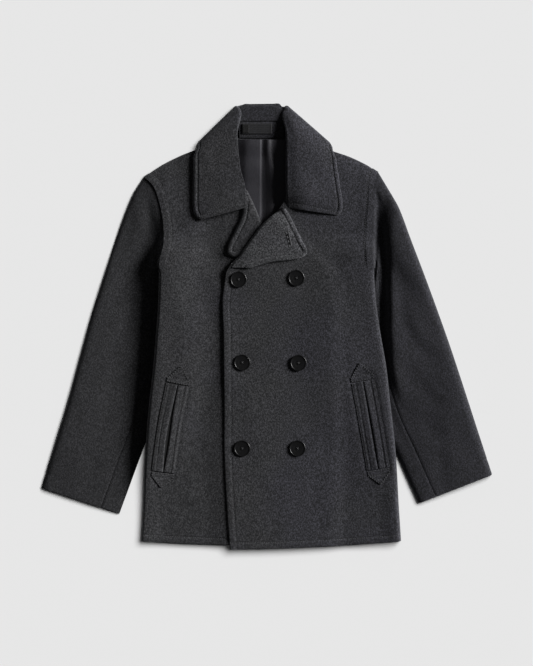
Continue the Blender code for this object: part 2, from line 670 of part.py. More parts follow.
def make_collar():
    up = np.array((0.0, 0.0, 1.0))
    right_out = np.array((-0.698, 0.716))
    left_out = np.array((0.658, 0.753))
    stations = [(np.array(r[:3]), np.array(r[3:]), 0.0, right_out) for r in LEAF_RIGHT]
    stations += [(*s, right_out) for s in fold_stations(FOLD_RIGHT, right_out)]
    for row in FALL_BEHIND:
        roll, free = np.array((*row[:2], 0.0)), np.array((*row[2:], 0.0))
        stations.append((roll, free, math.pi, right_out))
    stations += [(*s, left_out) for s in fold_stations(FOLD_LEFT, left_out)[::-1]]
    stations += [(np.array(r[:3]), np.array(r[3:]), 0.0, left_out) for r in LEAF_LEFT[::-1]]
    grid = []
    for roll, free, turn, out in stations:
        normal = up * math.cos(turn) + np.append(out, 0) * math.sin(turn)
        grid.append(collar_row(roll, free, normal))
    raised = np.zeros((len(grid), len(grid[0])))
    raised[:, -4:] = (-GROOVE, 0.0, 0.0, -0.0010)
    cloth("collar_fall", np.array(grid), COLLAR_WOOL, raised, flip=True)

    across = np.linspace(0, 1, 9)
    bottom, top = read_length(STAND_BOTTOM, across), read_length(STAND_TOP, across)
    rise = np.array([0, 0.05, 0.3, 0.45, 0.48, 0.51, 0.75, 0.95, 1.0])[:, None, None]
    plan = bottom[None] * (1 - rise) + top[None] * rise
    raised = np.zeros(plan.shape[:2])
    raised[[0, 4, -1]] = -0.0008
    grid = np.dstack([plan, np.full(plan.shape[:2], NECK_LIFT + COLLAR_WOOL)])
    cloth("collar_stand", grid, COLLAR_WOOL, raised)

    loop = np.zeros((3, 7, 3))
    loop[..., 0] = np.array(span(*LOOP_X, 7))[None]
    loop[..., 1] = np.array(span(*LOOP_Y, 3))[:, None]
    loop[..., 2] = NECK_LIFT + COLLAR_WOOL + GAP + LOOP_THICK
    cloth("hanger_loop", loop, LOOP_THICK, colour=LINING_GREY, roughness=0.6)


def make_lining():
    x = np.array([row[0] for row in LINING_PLEATS])
    pleats = np.array([row[1] for row in LINING_PLEATS])
    grid = np.zeros((len(LINING_Y), len(x), 3))
    for i, y in enumerate(LINING_Y):
        narrow = 1 - 0.36 * ease((y - 0.27) / 0.060)
        row_x = -0.009 + (x + 0.009) * narrow
        floor = back_base(row_x, np.full_like(row_x, y)) + WOOL + 4 * GAP
        fade = 1 - 0.7 * ease((y - 0.25) / 0.06)
        grid[i] = np.stack([row_x, np.full_like(x, y), floor + LINING + pleats * fade], axis=1)
    cloth("lining_back", grid, LINING, colour=LINING_GREY, roughness=0.45)


def lapel_grid(table, facets, level=None):
    """Outer face of a lapel, from its roll down to its end, resting on its own front."""
    rows = read_line(table, span(0, len(table) - 1, 13))
    grid = []
    for row in rows:
        roll, outer = row[:2], row[2:]
        width = np.linalg.norm(outer - roll)
        along = (outer - roll) / width
        edge = min(STITCH_IN, 0.3 * width)
        turn = min(0.005, 0.25 * width)
        reach = [0, 0.13 * turn, 0.5 * turn, turn]
        reach += span(turn, width - edge - 0.002, 3)[1:]
        reach += [width - edge, width - edge + 0.002, width - 0.001, width]
        line = []
        for j, distance in enumerate(reach):
            point = roll + along * distance
            found = height_on(facets, *point, reach=0.009) if level is None else level
            z = (FRONT_TOP if found is None else found) + GAP + LAPEL_WOOL
            z -= LAPEL_WOOL * (1 - rolled(distance, turn)) if j < 4 else 0
            line.append((*point, z))
        grid.append(line)
    raised = np.zeros((len(grid), len(grid[0])))
    raised[:, -4:] = (-GROOVE, 0.0, 0.0, -0.0008)
    return np.array(grid), raised


def make_lapels(facets):
    grid, raised = lapel_grid(LAPEL_RIGHT, None, level=FRONT_TOP - LAPEL_DIP)
    cloth("lapel_right", grid, LAPEL_WOOL, raised)
    grid, raised = lapel_grid(LAPEL_LEFT, facets["left"])
    cloth("lapel_left", grid, LAPEL_WOOL, raised)


# ---- pockets and buttons ----


def laid(plan, facets, wall):
    """A strip's outer face: its plan points moved out from the panel that carries it."""
    grid = np.zeros((*plan.shape[:2], 3))
    grid[..., :2] = plan
    for i, j in np.ndindex(plan.shape[:2]):
        grid[i, j, 2] = height_on(facets, *plan[i, j], reach=0.004) + GAP + wall
    return grid


def make_pocket(name, slit, facets):
    line = read_length(slit, np.linspace(0, 1, 9))
    along = np.gradient(line, axis=0)
    along /= np.linalg.norm(along, axis=1)[:, None]
    out = np.stack([along[:, 1], -along[:, 0]], axis=1) * (-1 if name == "left" else 1)
    reach = np.array((0.0, 0.0012, 0.0115, 0.0130, 0.0145, WELT_WIDE - 0.0012, WELT_WIDE))
    raised = np.array((-0.0006, 0.0, 0.0, -0.0008, 0.0, 0.0, -0.0006))[None]
    for part, way in (("front", -1), ("back", 1)):
        offsets = way * (SLIT_HALF + reach)
        plan = line[:, None] + out[:, None] * offsets[None, :, None]
        grid = laid(plan, facets, WELT)
        cloth(f"pocket_{name}_{part}_welt", grid, WELT, raised)
    for end, place, way in (("top", 0, -1), ("bottom", -1, 1)):
        foot = line[place] + along[place] * way * (TACK_BAND * 0.5 + 0.0022)
        axis, side = along[place] * way, out[place]
        half = TACK_HALF if way < 0 else TACK_HALF * 0.95
        tall = TACK_HIGH if way < 0 else TACK_HIGH * 0.75
        stations = ((-0.5, 1.0), (0.5, 1.0), (0.52, 0.93), (1.4, 0.62), (2.6, 0.2), (2.95, 0.06))
        plan = []
        for step, wide in stations:
            over = max(0.0, step - 0.5) / 2.45
            centre = foot + axis * (TACK_BAND * min(step, 0.5) + tall * over)
            plan.append([centre + side * half * wide * w for w in (-1, -0.5, 0, 0.5, 1)])
        grid = laid(np.array(plan), facets, 0.0011)
        cloth(f"pocket_{name}_{end}_tack", grid, 0.0011)


def button_mesh():
    """A turned button with a raised rim, a dished middle and four holes."""
    r, t = BUTTON_RADIUS, BUTTON_THICK
    profile = (
        (0.0, 0.0), (0.86 * r, 0.0), (r, 0.48 * t), (0.95 * r, 0.90 * t),
        (0.85 * r, t), (0.70 * r, 0.66 * t), (0.0, 0.56 * t),
    )
    sides = 20
    points = [(0.0, 0.0, 0.0)]
    for radius, z in profile[1:-1]:
        for s in range(sides):
            turn = 2 * math.pi * s / sides
            points.append((radius * math.cos(turn), radius * math.sin(turn), z))
    points.append((0.0, 0.0, profile[-1][1]))
    rings = len(profile) - 2
    faces = [(0, 1 + (s + 1) % sides, 1 + s) for s in range(sides)]
    for ring in range(rings - 1):
        for s in range(sides):
            a, b = 1 + ring * sides + s, 1 + ring * sides + (s + 1) % sides
            faces.append((a, b, b + sides, a + sides))
    last = 1 + (rings - 1) * sides
    faces += [(last + s, last + (s + 1) % sides, len(points) - 1) for s in range(sides)]
    blank = bpy.data.meshes.new("button_blank")
    blank.from_pydata(points, [], faces)
    holes = bpy.data.meshes.new("button_holes")
    hole_points, hole_faces = [], []
    sides = 8
    for k in range(4):
        turn = math.pi * (0.25 + 0.5 * k)
        centre = (0.0031 * math.cos(turn), 0.0031 * math.sin(turn))
        start = len(hole_points)
        for z in (-0.002, 0.008):
            for s in range(sides):
                angle = 2 * math.pi * s / sides
                hole_points.append(
                    (centre[0] + 0.0011 * math.cos(angle), centre[1] + 0.0011 * math.sin(angle), z)
                )
        hole_faces.append(tuple(start + s for s in reversed(range(sides))))
        hole_faces.append(tuple(start + sides + s for s in range(sides)))
        for s in range(sides):
            n = (s + 1) % sides
            hole_faces.append((start + s, start + n, start + sides + n, start + sides + s))
    holes.from_pydata(hole_points, [], hole_faces)
    body = bpy.data.objects.new("button_blank", blank)
    cutter = bpy.data.objects.new("button_holes", holes)
    for helper in (body, cutter):
        bpy.context.scene.collection.objects.link(helper)
    cut = body.modifiers.new("holes", "BOOLEAN")
    cut.operation = "DIFFERENCE"
    cut.object = cutter
    graph = bpy.context.evaluated_depsgraph_get()
    made = bpy.data.meshes.new_from_object(body.evaluated_get(graph))
    for helper in (body, cutter):
        bpy.data.objects.remove(helper)
    made.name = "button"
    made.shade_smooth()
    made.set_sharp_from_angle(angle=math.radians(35))
    return made


def make_buttons(facets):
    shape = button_mesh()
    shape.materials.clear()
    shape.materials.append(material("button", BLACK, 0.25))
    for name, x, y in BUTTON_CENTRES:
        button = bpy.data.objects.new(f"button_{name}", shape)
        button.location = (x, y, height_on(facets["left"], x, y, reach=0.010) + GAP)
        bpy.context.scene.collection.objects.link(button)


def main():
    remove_all()
    make_back()
    make_lining()
    facets = make_fronts()
    make_sleeve("right", SLEEVE_RIGHT, SIDE_RIGHT, ARMHOLE_RIGHT)
    make_sleeve("left", SLEEVE_LEFT, SIDE_LEFT, ARMHOLE_LEFT)
    make_collar()
    make_lapels(facets)
    make_pocket("right", POCKET_RIGHT, facets["right"])
    make_pocket("left", POCKET_LEFT, facets["left"])
    make_buttons(facets)


main()
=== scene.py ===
"""Looks of a double-breasted pea coat, laid flat: cloth, lining, stitching and buttons.

Lengths are in metres, in the part's own frame: +Z up, +Y towards the collar, +X the wearer's left.
"""

import json
import math
from types import SimpleNamespace

import bpy
import numpy as np
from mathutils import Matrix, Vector
from mathutils.bvhtree import BVHTree

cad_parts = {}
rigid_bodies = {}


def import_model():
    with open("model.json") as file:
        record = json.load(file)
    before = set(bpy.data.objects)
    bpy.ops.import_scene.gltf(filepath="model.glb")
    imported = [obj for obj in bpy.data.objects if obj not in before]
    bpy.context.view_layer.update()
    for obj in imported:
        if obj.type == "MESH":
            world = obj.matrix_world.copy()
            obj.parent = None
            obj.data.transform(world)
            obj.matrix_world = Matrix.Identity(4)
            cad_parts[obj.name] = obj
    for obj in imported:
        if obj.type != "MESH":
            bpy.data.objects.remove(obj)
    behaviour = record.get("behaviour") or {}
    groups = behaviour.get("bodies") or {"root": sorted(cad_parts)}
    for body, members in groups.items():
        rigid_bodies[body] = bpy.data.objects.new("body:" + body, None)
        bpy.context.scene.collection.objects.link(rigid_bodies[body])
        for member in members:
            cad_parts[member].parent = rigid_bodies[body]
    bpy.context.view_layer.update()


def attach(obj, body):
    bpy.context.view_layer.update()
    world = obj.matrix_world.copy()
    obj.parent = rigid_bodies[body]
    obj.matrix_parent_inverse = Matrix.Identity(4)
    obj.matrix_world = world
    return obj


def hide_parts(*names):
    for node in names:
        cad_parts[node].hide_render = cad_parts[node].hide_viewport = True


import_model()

# Cloth walls and the clearances between them.
WOOL = 0.003
COLLAR_WOOL = 0.0042
LAPEL_WOOL = 0.004
LINING = 0.001
TACK = 0.0011
GAP = 0.0004
SEAM = 0.00032

# Heights of the layers above the surface that the coat lies on.
FRONT_TOP = 0.016
OVERLAP = WOOL + GAP
LAPEL_DIP = LAPEL_WOOL + 2 * GAP
SHOULDER_ROLL = 0.060
TUCK_TOP = 0.0096
TUCK_LIFT = 0.0106
SLEEVE_TOP = 0.020
UNDERARM_Y = 0.1005
NECK_LIFT = COLLAR_WOOL + GAP
FOLD_RADIUS = 0.0090
ROLL_RADIUS = 0.005
ROLL_DEPTH = 0.0086

# Stitched edges: how far in the row of stitches lies, and how deep it sinks.
STITCH_IN = 0.009
FRONT_STITCH_IN = 0.013
HEM_STITCH_IN = 0.0125
WELT_IN = 0.0127
GROOVE = 0.0010
GROOVE_WIDE = 0.0015
WELT_STITCH_IN = 0.0139
FRONT_STITCH_TOP_Y = 0.094
WELT_RAISE = 0.0007
STITCH_PITCH = 0.0042
STITCH_LENGTH = 0.0030
STITCH_RADIUS = 0.00038

BUTTON_RADIUS = 0.015
BUTTON_THICK = 0.0032
# Half of a button's section, from its underside round the rim to the dished face, as shares of its
# radius and its thickness.
BUTTON_FACE = 0.56
BUTTON_PROFILE = (
    (0.80, 0.0), (0.93, 0.10), (0.985, 0.30), (1.0, 0.52), (0.992, 0.76), (0.975, 0.92), (0.945, 1.0),
    (0.905, 0.985), (0.888, 0.93), (0.873, 0.80), (0.858, 0.70), (0.82, 0.665),
    (0.55, 0.64), (0.50, 0.62), (0.45, 0.57), (0.25, BUTTON_FACE),
)
# Its four holes, and the thread through them.
HOLE_RADIUS = 0.0011
HOLE_OUT = 0.0031
THREAD_REACH = 0.0022
THREAD_APART = 0.0003
BUTTON_THREAD = {"pitch": 0.0060, "length": 0.0058, "radius": 0.00042}
BUTTON_CENTRES = (
    ("upper_right", -0.0517, 0.0864),
    ("upper_left", 0.0549, 0.0892),
    ("middle_right", -0.0449, -0.0666),
    ("middle_left", 0.0586, -0.0673),
    ("lower_right", -0.0450, -0.2248),
    ("lower_left", 0.0569, -0.2248),
)

# The left front's free edge stands up a little over a dip in the right front.
EDGE_THIN = 0.0016
THIN_IN = 0.040
THIN_PAST = 0.030
OVERLAP_RISE = 0.0022
OVERLAP_RISE_START = -0.050
OVERLAP_RISE_FADE = 0.060
OVERLAP_FALL_START = 0.050
OVERLAP_FALL_FADE = 0.200
EDGE_LIFT = 0.0006
EDGE_LIFT_WIDE = 0.020
LAPEL_LIFT = 0.0010
# Softer turns of the collar: a leaf that slopes to its roll, and thin front ends.
DROOP_WIDE = 0.018
COLLAR_END_THIN = 0.0030
COLLAR_END_WIDE = 0.030
COLLAR_CROWN = 0.0014
CROWN_EDGE = 0.014
ROLL_TIGHT_Y = 0.385
ROLL_TIGHT_FADE = 0.05
# A collar's face counts as on top above the first height, and is stitched above the second.
COLLAR_TOP_Z = 0.0155
COLLAR_STITCH_Z = 0.017
COLLAR_STITCH_X = 0.045
FOLD_SHALLOW = 0.0030
# Height of a sleeve's upper face: (distance out from the line where it leaves the body, height).
SLEEVE_LEAVES = 0.2040
SLEEVE_SLOPE_RIGHT = (
    (-0.060, 0.0080), (-0.012, 0.0054), (0.004, 0.0044), (0.030, 0.0044), (0.044, 0.0056),
    (0.060, 0.0074), (0.078, 0.0094), (0.098, 0.0114), (0.120, 0.0126), (0.300, 0.0130),
)
SLEEVE_LOW = ((0.0, 0.0096), (0.013, 0.0124), (0.050, 0.0160), (0.110, 0.0200))
SLEEVE_SLOPE_LEFT = (
    (-0.060, 0.0090), (-0.024, 0.0110), (-0.010, 0.0114), (0.000, 0.0094), (0.008, 0.0058),
    (0.0125, 0.0058), (0.0175, 0.0100), (0.022, 0.0162), (0.026, 0.0190), (0.032, 0.0201),
    (0.046, 0.0206), (0.070, 0.0208), (0.090, 0.0206), (0.300, 0.0196),
)
SIDE_SWELL = 0.0008
STAND_WALL = 0.003
STAND_SEAM = 0.52
STAND_SEAM_DIP = 0.0016
STAND_FOOT_DIP = 0.0010
STAND_STEP = 0.0009
STAND_TURN = 0.0052
# A near-black square on the hanger loop's left end: its x and y span.
DARK_SQUARE_X = (-0.0448, -0.0325)
DARK_SQUARE_Y = (0.3570, 0.3728)
BUTTON_DIMPLE = 0.0014
BUTTON_DIMPLE_WIDE = 0.019
WELT_GROOVE = 0.0130
ALL_ROUND = ("first", "last", "left", "right")

# Lifts over what is tucked beneath: the sleeves below the underarm, and the collar's hidden fall
# from a little below the neck, as wide as the collar.
TUCK_TOP_Y = 0.175
TUCK_TOP_FADE = 0.045
BACK_TUCK_FULL = 0.012
BACK_TUCK_FADE = 0.040
NECK_LIFT_Y = 0.255
NECK_LIFT_FADE = 0.045
NECK_LIFT_HALF = 0.172
NECK_LIFT_X = -0.003
NECK_LIFT_SIDE_FADE = 0.034

# Where the fronts change level, and the widths over which they do.
HEM_RISE_Y = -0.36
HEM_RISE_FADE = 0.16
SHOULDER_SLANT = 0.91
ARMHOLE_START = 0.008
ARMHOLE_FADE = 0.018
OVERLAP_SPREAD = 0.060
OVERLAP_DRAWN = 0.028
OVERLAP_DRAWN_Y = 0.185
OVERLAP_DRAWN_FADE = 0.030
OVERLAP_FADE = 0.034
CLOSED_Y = 0.128
CLOSED_FADE = 0.03
CREASES_IN = 0.030
CREASES_TOP_Y = 0.33
CREASES_TOP_FADE = 0.06
DRIFT = 0.0004
DRIFT_SIZE = 0.11
DRIFT_SEED = 1.3
SWELL_IN = 0.013
SWELL_WIDE = 0.012
SINK_PAST_WELT = 0.008
SINK_FADE = 0.010
# Long line that the turned-over lapel lies along: its x, and the y of its ends.
LAPEL_BED_X = -0.036
LAPEL_BED_Y = (0.150, 0.212)
LAPEL_BED_WIDE = 0.104
LAPEL_BED_FADE = 0.044

# Rows of mesh: steps along the panels, and the hem's bow.
FRONT_WIDE = 0.30
FRONT_STEP = 0.0040
FRONT_HEM_BOW = 0.004
BACK_WIDE = 0.44
BACK_STEP = 0.0046
BACK_HEM_BOW = 0.010
BACK_NECKLINE = ((-0.0500, 0.3465), (-0.0095, 0.3458), (0.0320, 0.3476))

# Greys of the melton's fibres, dark and light: body; the same melton darker for the sleeves and the
# stand, as painted shade; and lighter for the left lapel's facing, as painted light.
CHARCOAL_DARK = (0.0020, 0.0020, 0.0023)
CHARCOAL_LIGHT = (0.0525, 0.0525, 0.056)
SHADED_CHARCOAL_LIGHT = (0.0335, 0.0335, 0.0365)
LIT_LAPEL_DARK = (0.004, 0.004, 0.0045)
LIT_LAPEL_LIGHT = (0.090, 0.091, 0.096)
# Cool tint of the melton: in random patches, and more of it toward +X, the lit side, where it is
# painted light colour.
COOL = (0.96, 0.945, 1.10)

# Light, and the view from straight above. Lamps: name, power, angular size in degrees, direction
# that the light comes from.
AMBIENT = 0.07
COAT_LAMP = ("window", 7.4, 24.0, (0.868, 0.351, 0.350))
FLOOR_LAMP = ("floor_lamp", 3.45, 40.0, (0.42, 0.34, 0.84))
CAMERA_HIGH = 5.0
SEEN_MIDDLE = (-0.0003, -0.0122)
SEEN_LONG = 1.2321

# Cut of each piece that shows: piece, width, length, share of that rectangle, and what it lies on.
CUTS = (
    ("back", 0.480, 0.760, 0.90, ("floor",)),
    ("lining", 0.140, 0.200, 0.92, ("back",)),
    ("front_right", 0.330, 0.750, 0.78, ("back",)),
    ("front_left", 0.330, 0.750, 0.80, ("front_right",)),
    ("sleeve_right_upper", 0.200, 0.610, 0.80, ("sleeve_right_under",)),
    ("sleeve_right_under", 0.150, 0.500, 0.80, ("floor",)),
    ("sleeve_left_upper", 0.200, 0.610, 0.80, ("sleeve_left_under",)),
    ("sleeve_left_under", 0.150, 0.500, 0.80, ("floor",)),
    ("fall", 0.660, 0.100, 0.92, ("front_right", "front_left")),
    ("stand", 0.085, 0.052, 0.95, ("fall",)),
    ("label", 0.0555, 0.0193, 1.0, ("stand",)),
    ("tab", 0.0123, 0.0158, 1.0, ("label",)),
    ("lapel_right", 0.075, 0.120, 0.70, ("front_right",)),
    ("lapel_left", 0.080, 0.135, 0.75, ("front_left",)),
)
# Cut of each pocket's pieces: part, width, length (none for the slit's own), and share. The mouth is
# the near-black strip of painted shade in the slit.
POCKET_CUTS = (
    ("front", 0.0205, None, 1.0),
    ("back", 0.0205, None, 1.0),
    ("mouth", 0.0100, None, 0.5),
    ("top", 0.0390, 0.0290, 0.65),
    ("bottom", 0.0370, 0.0240, 0.65),
)

# Body outline, from the hem up to the underarm.
SIDE_RIGHT = (
    (-0.2325, -0.3961), (-0.2290, -0.3300), (-0.2230, -0.2150), (-0.2169, -0.1413),
    (-0.2093, -0.0738), (-0.2040, -0.0100), (-0.2001, 0.0488), (-0.1986, 0.1005),
)
SIDE_LEFT = (
    (0.2482, -0.3961), (0.2440, -0.3300), (0.2365, -0.2150), (0.2280, -0.1413),
    (0.2205, -0.0738), (0.2095, -0.0100), (0.2014, 0.0488), (0.1977, 0.1005),
)

# Armholes, from the underarm up to the shoulder's end.
ARMHOLE_RIGHT = (
    (-0.1986, 0.1005), (-0.1971, 0.1203), (-0.1901, 0.1513), (-0.1901, 0.1824),
    (-0.1971, 0.2250), (-0.2112, 0.2618), (-0.2269, 0.2760),
)
ARMHOLE_LEFT = (
    (0.1977, 0.1005), (0.1958, 0.1203), (0.1940, 0.1450), (0.1947, 0.1824),
    (0.1980, 0.2300), (0.2004, 0.2675), (0.2060, 0.2850),
)

# Shoulder seams, from the neck out.
SHOULDER_RIGHT = (
    (-0.0620, 0.3520), (-0.1000, 0.3390), (-0.1300, 0.3265), (-0.1650, 0.3125),
    (-0.1914, 0.2990), (-0.2269, 0.2760),
)
SHOULDER_LEFT = (
    (0.0500, 0.3520), (0.0900, 0.3370), (0.1220, 0.3235), (0.1560, 0.3120),
    (0.1850, 0.2980), (0.2060, 0.2850),
)

# Free edges of the two fronts below the underarm line, from the hem up, one point for each
# point of the side outlines.
FREE_EDGE_RIGHT = (
    (0.0880, -0.4040), (0.0900, -0.3350), (0.0900, -0.2200), (0.0900, -0.1450),
    (0.0900, -0.0760), (0.0900, -0.0100), (0.0880, 0.0500), (0.0800, 0.1000),
)
FREE_EDGE_LEFT = (
    (-0.0680, -0.4110), (-0.0733, -0.3350), (-0.0785, -0.2200), (-0.0782, -0.1450),
    (-0.0790, -0.0760), (-0.0795, -0.0100), (-0.0812, 0.0500), (-0.0752, 0.0993),
)

# The V and the neckline above that line: the lapel's roll, then the seam under the collar.
NECK_EDGE_RIGHT = (
    (0.0800, 0.1000), (0.0500, 0.1340), (-0.0090, 0.1910), (-0.0220, 0.2210),
    (-0.0375, 0.2500), (-0.0445, 0.2720), (-0.0510, 0.2960), (-0.0540, 0.3260),
    (-0.0620, 0.3520),
)
NECK_EDGE_LEFT = (
    (-0.0752, 0.0993), (-0.0697, 0.1093), (-0.0497, 0.1321), (-0.0101, 0.1863),
    (0.0221, 0.2161), (0.0355, 0.2400), (0.0365, 0.2900), (0.0375, 0.3200),
    (0.0500, 0.3520),
)

# Sleeves: (outer x, outer y, inner x, inner y, top, blend to the armhole's height).
SLEEVE_RIGHT = (
    (-0.2455, 0.2480, -0.1992, 0.0860, 0.0180, 0.70),
    (-0.2620, 0.2100, -0.1968, 0.0680, 0.0195, 0.35),
    (-0.2780, 0.1650, -0.1905, 0.0460, 0.0200, 0.10),
    (-0.3000, 0.0980, -0.1815, 0.0120, 0.0200, 0.00),
    (-0.3240, 0.0220, -0.1780, -0.0330, 0.0200, 0.00),
    (-0.3450, -0.0530, -0.1830, -0.0960, 0.0200, 0.00),
    (-0.3673, -0.1352, -0.2060, -0.1680, 0.0200, 0.00),
    (-0.3920, -0.2160, -0.2357, -0.2480, 0.0190, 0.00),
    (-0.4085, -0.2705, -0.2590, -0.3115, 0.0175, 0.00),
    (-0.4169, -0.2993, -0.2720, -0.3469, 0.0165, 0.00),
)
SLEEVE_LEFT = (
    (0.2260, 0.2520, 0.1988, 0.0860, 0.0180, 0.45),
    (0.2430, 0.2222, 0.1968, 0.0680, 0.0195, 0.10),
    (0.2620, 0.1730, 0.1905, 0.0460, 0.0200, 0.00),
    (0.2905, 0.0980, 0.1820, 0.0120, 0.0200, 0.00),
    (0.3155, 0.0300, 0.1790, -0.0330, 0.0200, 0.00),
    (0.3385, -0.0350, 0.1870, -0.0960, 0.0200, 0.00),
    (0.3640, -0.1120, 0.2080, -0.1680, 0.0200, 0.00),
    (0.3890, -0.1890, 0.2400, -0.2400, 0.0190, 0.00),
    (0.4080, -0.2470, 0.2660, -0.2980, 0.0175, 0.00),
    (0.4169, -0.2740, 0.2794, -0.3278, 0.0165, 0.00),
)
FRONT_SEAM_IN = 0.036
ROLL_START = 0.022
MID_COLUMNS = 14
ELBOW_SEAM_IN = 0.026
SEAM_DIP = 0.0006
SEAM_DIP_WIDE = 0.0018
THIN_SLEEVE = 0.0018
CUFF_STITCH_IN = 0.030
CUFF_GROOVE_WIDE = 0.0016
LEAN_Y = 0.115
DIP_LEAN_Y = 0.175
LOW_SLOPE_Y = -0.050
# Rolled sleeve edge: (distance in from the edge, share of the sleeve's height).
ROLLED_TOP = ((0.0, 0.42), (0.0025, 0.74), (0.008, 0.95), (0.018, 1.0))
ROLLED_INNER_TOP = ((0.0, 0.45), (0.002, 0.75), (0.006, 0.94), (0.013, 1.0))
ROLLED_BASE = ((0.0012, 0.16), (0.004, 0.0), (0.012, 0.0))

# Collar leaves, from the front end to the shoulder: (roll x, roll y, roll z, free x, free y, free z).
LEAF_RIGHT = (
    (-0.0376, 0.2190, 0.0250, -0.1215, 0.1962, 0.0209),
    (-0.0376, 0.2225, 0.0250, -0.1290, 0.2010, 0.0209),
    (-0.0376, 0.2290, 0.0250, -0.1345, 0.2100, 0.0209),
    (-0.0378, 0.2390, 0.0250, -0.1362, 0.2235, 0.0209),
    (-0.0400, 0.2600, 0.0252, -0.1363, 0.2530, 0.0209),
    (-0.0480, 0.2900, 0.0252, -0.1360, 0.2800, 0.0206),
    (-0.0518, 0.3230, 0.0245, -0.1357, 0.2990, 0.0203),
    (-0.0540, 0.3550, 0.0225, -0.1355, 0.3110, 0.0196),
)
LEAF_LEFT = (
    (0.0376, 0.2185, 0.0274, 0.1290, 0.2045, 0.0209),
    (0.0372, 0.2225, 0.0282, 0.1355, 0.2080, 0.0209),
    (0.0362, 0.2300, 0.0294, 0.1395, 0.2150, 0.0209),
    (0.0358, 0.2400, 0.0306, 0.1400, 0.2260, 0.0209),
    (0.0352, 0.2600, 0.0320, 0.1365, 0.2520, 0.0209),
    (0.0350, 0.2900, 0.0326, 0.1325, 0.2790, 0.0206),
    (0.0350, 0.3230, 0.0326, 0.1298, 0.2970, 0.0206),
    (0.0350, 0.3550, 0.0309, 0.1280, 0.3090, 0.0210),
)
# The collar turns to behind along these lines, from the neck to the free edge.
FOLD_RIGHT = ((-0.0560, 0.4095), (-0.1345, 0.3330))
FOLD_LEFT = ((0.0365, 0.4100), (0.1270, 0.3310))
# Behind the neck: (roll x, roll y, free x, free y), wearer's right to left.
FALL_BEHIND = (
    (-0.0430, 0.4100, -0.1050, 0.3175),
    (-0.0290, 0.4107, -0.0700, 0.3160),
    (-0.0095, 0.4110, -0.0095, 0.3150),
    (0.0100, 0.4112, 0.0500, 0.3160),
    (0.0240, 0.4108, 0.0880, 0.3175),
)

# Lapels, from the top down: (roll x, roll y, outer x, outer y).
LAPEL_LEFT = (
    (0.0285, 0.2190, 0.0355, 0.2160),
    (0.0222, 0.2135, 0.0420, 0.2060),
    (0.0060, 0.2015, 0.0535, 0.1830),
    (-0.0101, 0.1863, 0.0655, 0.1580),
    (-0.0300, 0.1600, 0.0745, 0.1385),
    (-0.0420, 0.1430, 0.0712, 0.1312),
    (-0.0497, 0.1321, 0.0640, 0.1268),
    (-0.0620, 0.1180, 0.0000, 0.1165),
    (-0.0685, 0.1085, -0.0330, 0.1068),
)
LAPEL_RIGHT = (
    (-0.0365, 0.2520, -0.0425, 0.2330),
    (-0.0300, 0.2390, -0.0440, 0.2180),
    (-0.0220, 0.2220, -0.0460, 0.2040),
    (-0.0088, 0.1913, -0.0600, 0.1725),
    (-0.0010, 0.1800, -0.0725, 0.1440),
    (-0.0060, 0.1700, -0.0722, 0.1350),
    (-0.0160, 0.1560, -0.0640, 0.1290),
    (-0.0270, 0.1420, -0.0560, 0.1275),
)

BUTTONHOLE = ((0.0382, 0.1730), (0.0437, 0.1474))
PURL_PITCH = 0.00095
PURL_START = 0.0008
PURL_LONG = 0.0026
PURL = {"pitch": 0.0025, "length": 0.0025, "radius": 0.00048}
# Size of the near-black capsules along the buttonhole's slit: painted shade in the cut.
SLIT_SHADE_ROW = {"pitch": 0.0080, "length": 0.0079, "radius": 0.0010}

# A lapel's roll and its pressed edge, each at most a share of its width, and its soft swell.
LAPEL_ROLL = 0.006
LAPEL_ROLL_SHARE = 0.25
LAPEL_EDGE = 0.014
LAPEL_EDGE_SHARE = 0.4
LAPEL_SWELL = 0.0012
LAPEL_PUFF = 0.0006
FOOT_START = 0.004
FOOT_FADE = 0.042
LAPEL_LIFT_IN = 0.024
LAPEL_LIFT_Y = 0.205
LAPEL_LIFT_FADE = 0.03

STAND_BOTTOM = ((-0.0500, 0.3482), (-0.0095, 0.3474), (0.0310, 0.3496))
STAND_TOP = (
    (-0.0560, 0.4015), (-0.0460, 0.4042), (-0.0300, 0.4050), (-0.0095, 0.4055),
    (0.0100, 0.4052), (0.0240, 0.4020), (0.0310, 0.3970),
)
LOOP_X = (-0.0456, 0.0099)
LOOP_Y = (0.3552, 0.3745)
LOOP_THICK = 0.0012
RIB = 0.00012
RIB_PITCH = 0.0034
RIB_FROM = 0.0025
DARK_SQUARE_THICK = 0.0007
DARK_SQUARE_RISE = 0.0010

# Lining across the V: (x, height of its pleats).
LINING_PLEATS = (
    (-0.074, 0.0), (-0.060, 0.0002), (-0.054, 0.0012), (-0.047, 0.0032), (-0.041, 0.0048),
    (-0.036, 0.0054), (-0.030, 0.0055), (-0.022, 0.0052), (-0.0155, 0.0048), (-0.0118, 0.0042),
    (-0.0098, 0.0005), (-0.0040, 0.0002), (0.003, 0.0020), (0.008, 0.0031), (0.013, 0.0028),
    (0.018, 0.0012), (0.024, 0.0002), (0.030, 0.0),
    (0.044, 0.0), (0.058, 0.0),
)
FOLD_X = -0.009
DRAWN_IN = (0.06, 0.36)
DRAWN_Y = 0.27
DRAWN_FADE = 0.060
HUNG = 0.0042
HUNG_Y = 0.308
HUNG_FADE = 0.032
LINING_Y = (0.150, 0.3445)

# Pockets: slit from top to bottom, with a welt on each side and a tack at each end.
POCKET_RIGHT = ((-0.1640, -0.1080), (-0.1790, -0.1850), (-0.1905, -0.2680))
POCKET_LEFT = ((0.1775, -0.1020), (0.1925, -0.1850), (0.2055, -0.2620))
WELT_WIDE = 0.0205
SLIT_HALF = 0.0011
TACK_BAND = 0.0095
TACK_HALF = 0.0218
TACK_HIGH = 0.0235
TACK_STITCH_RADIUS = 0.00085
BORDER_STITCH_IN = 0.0012
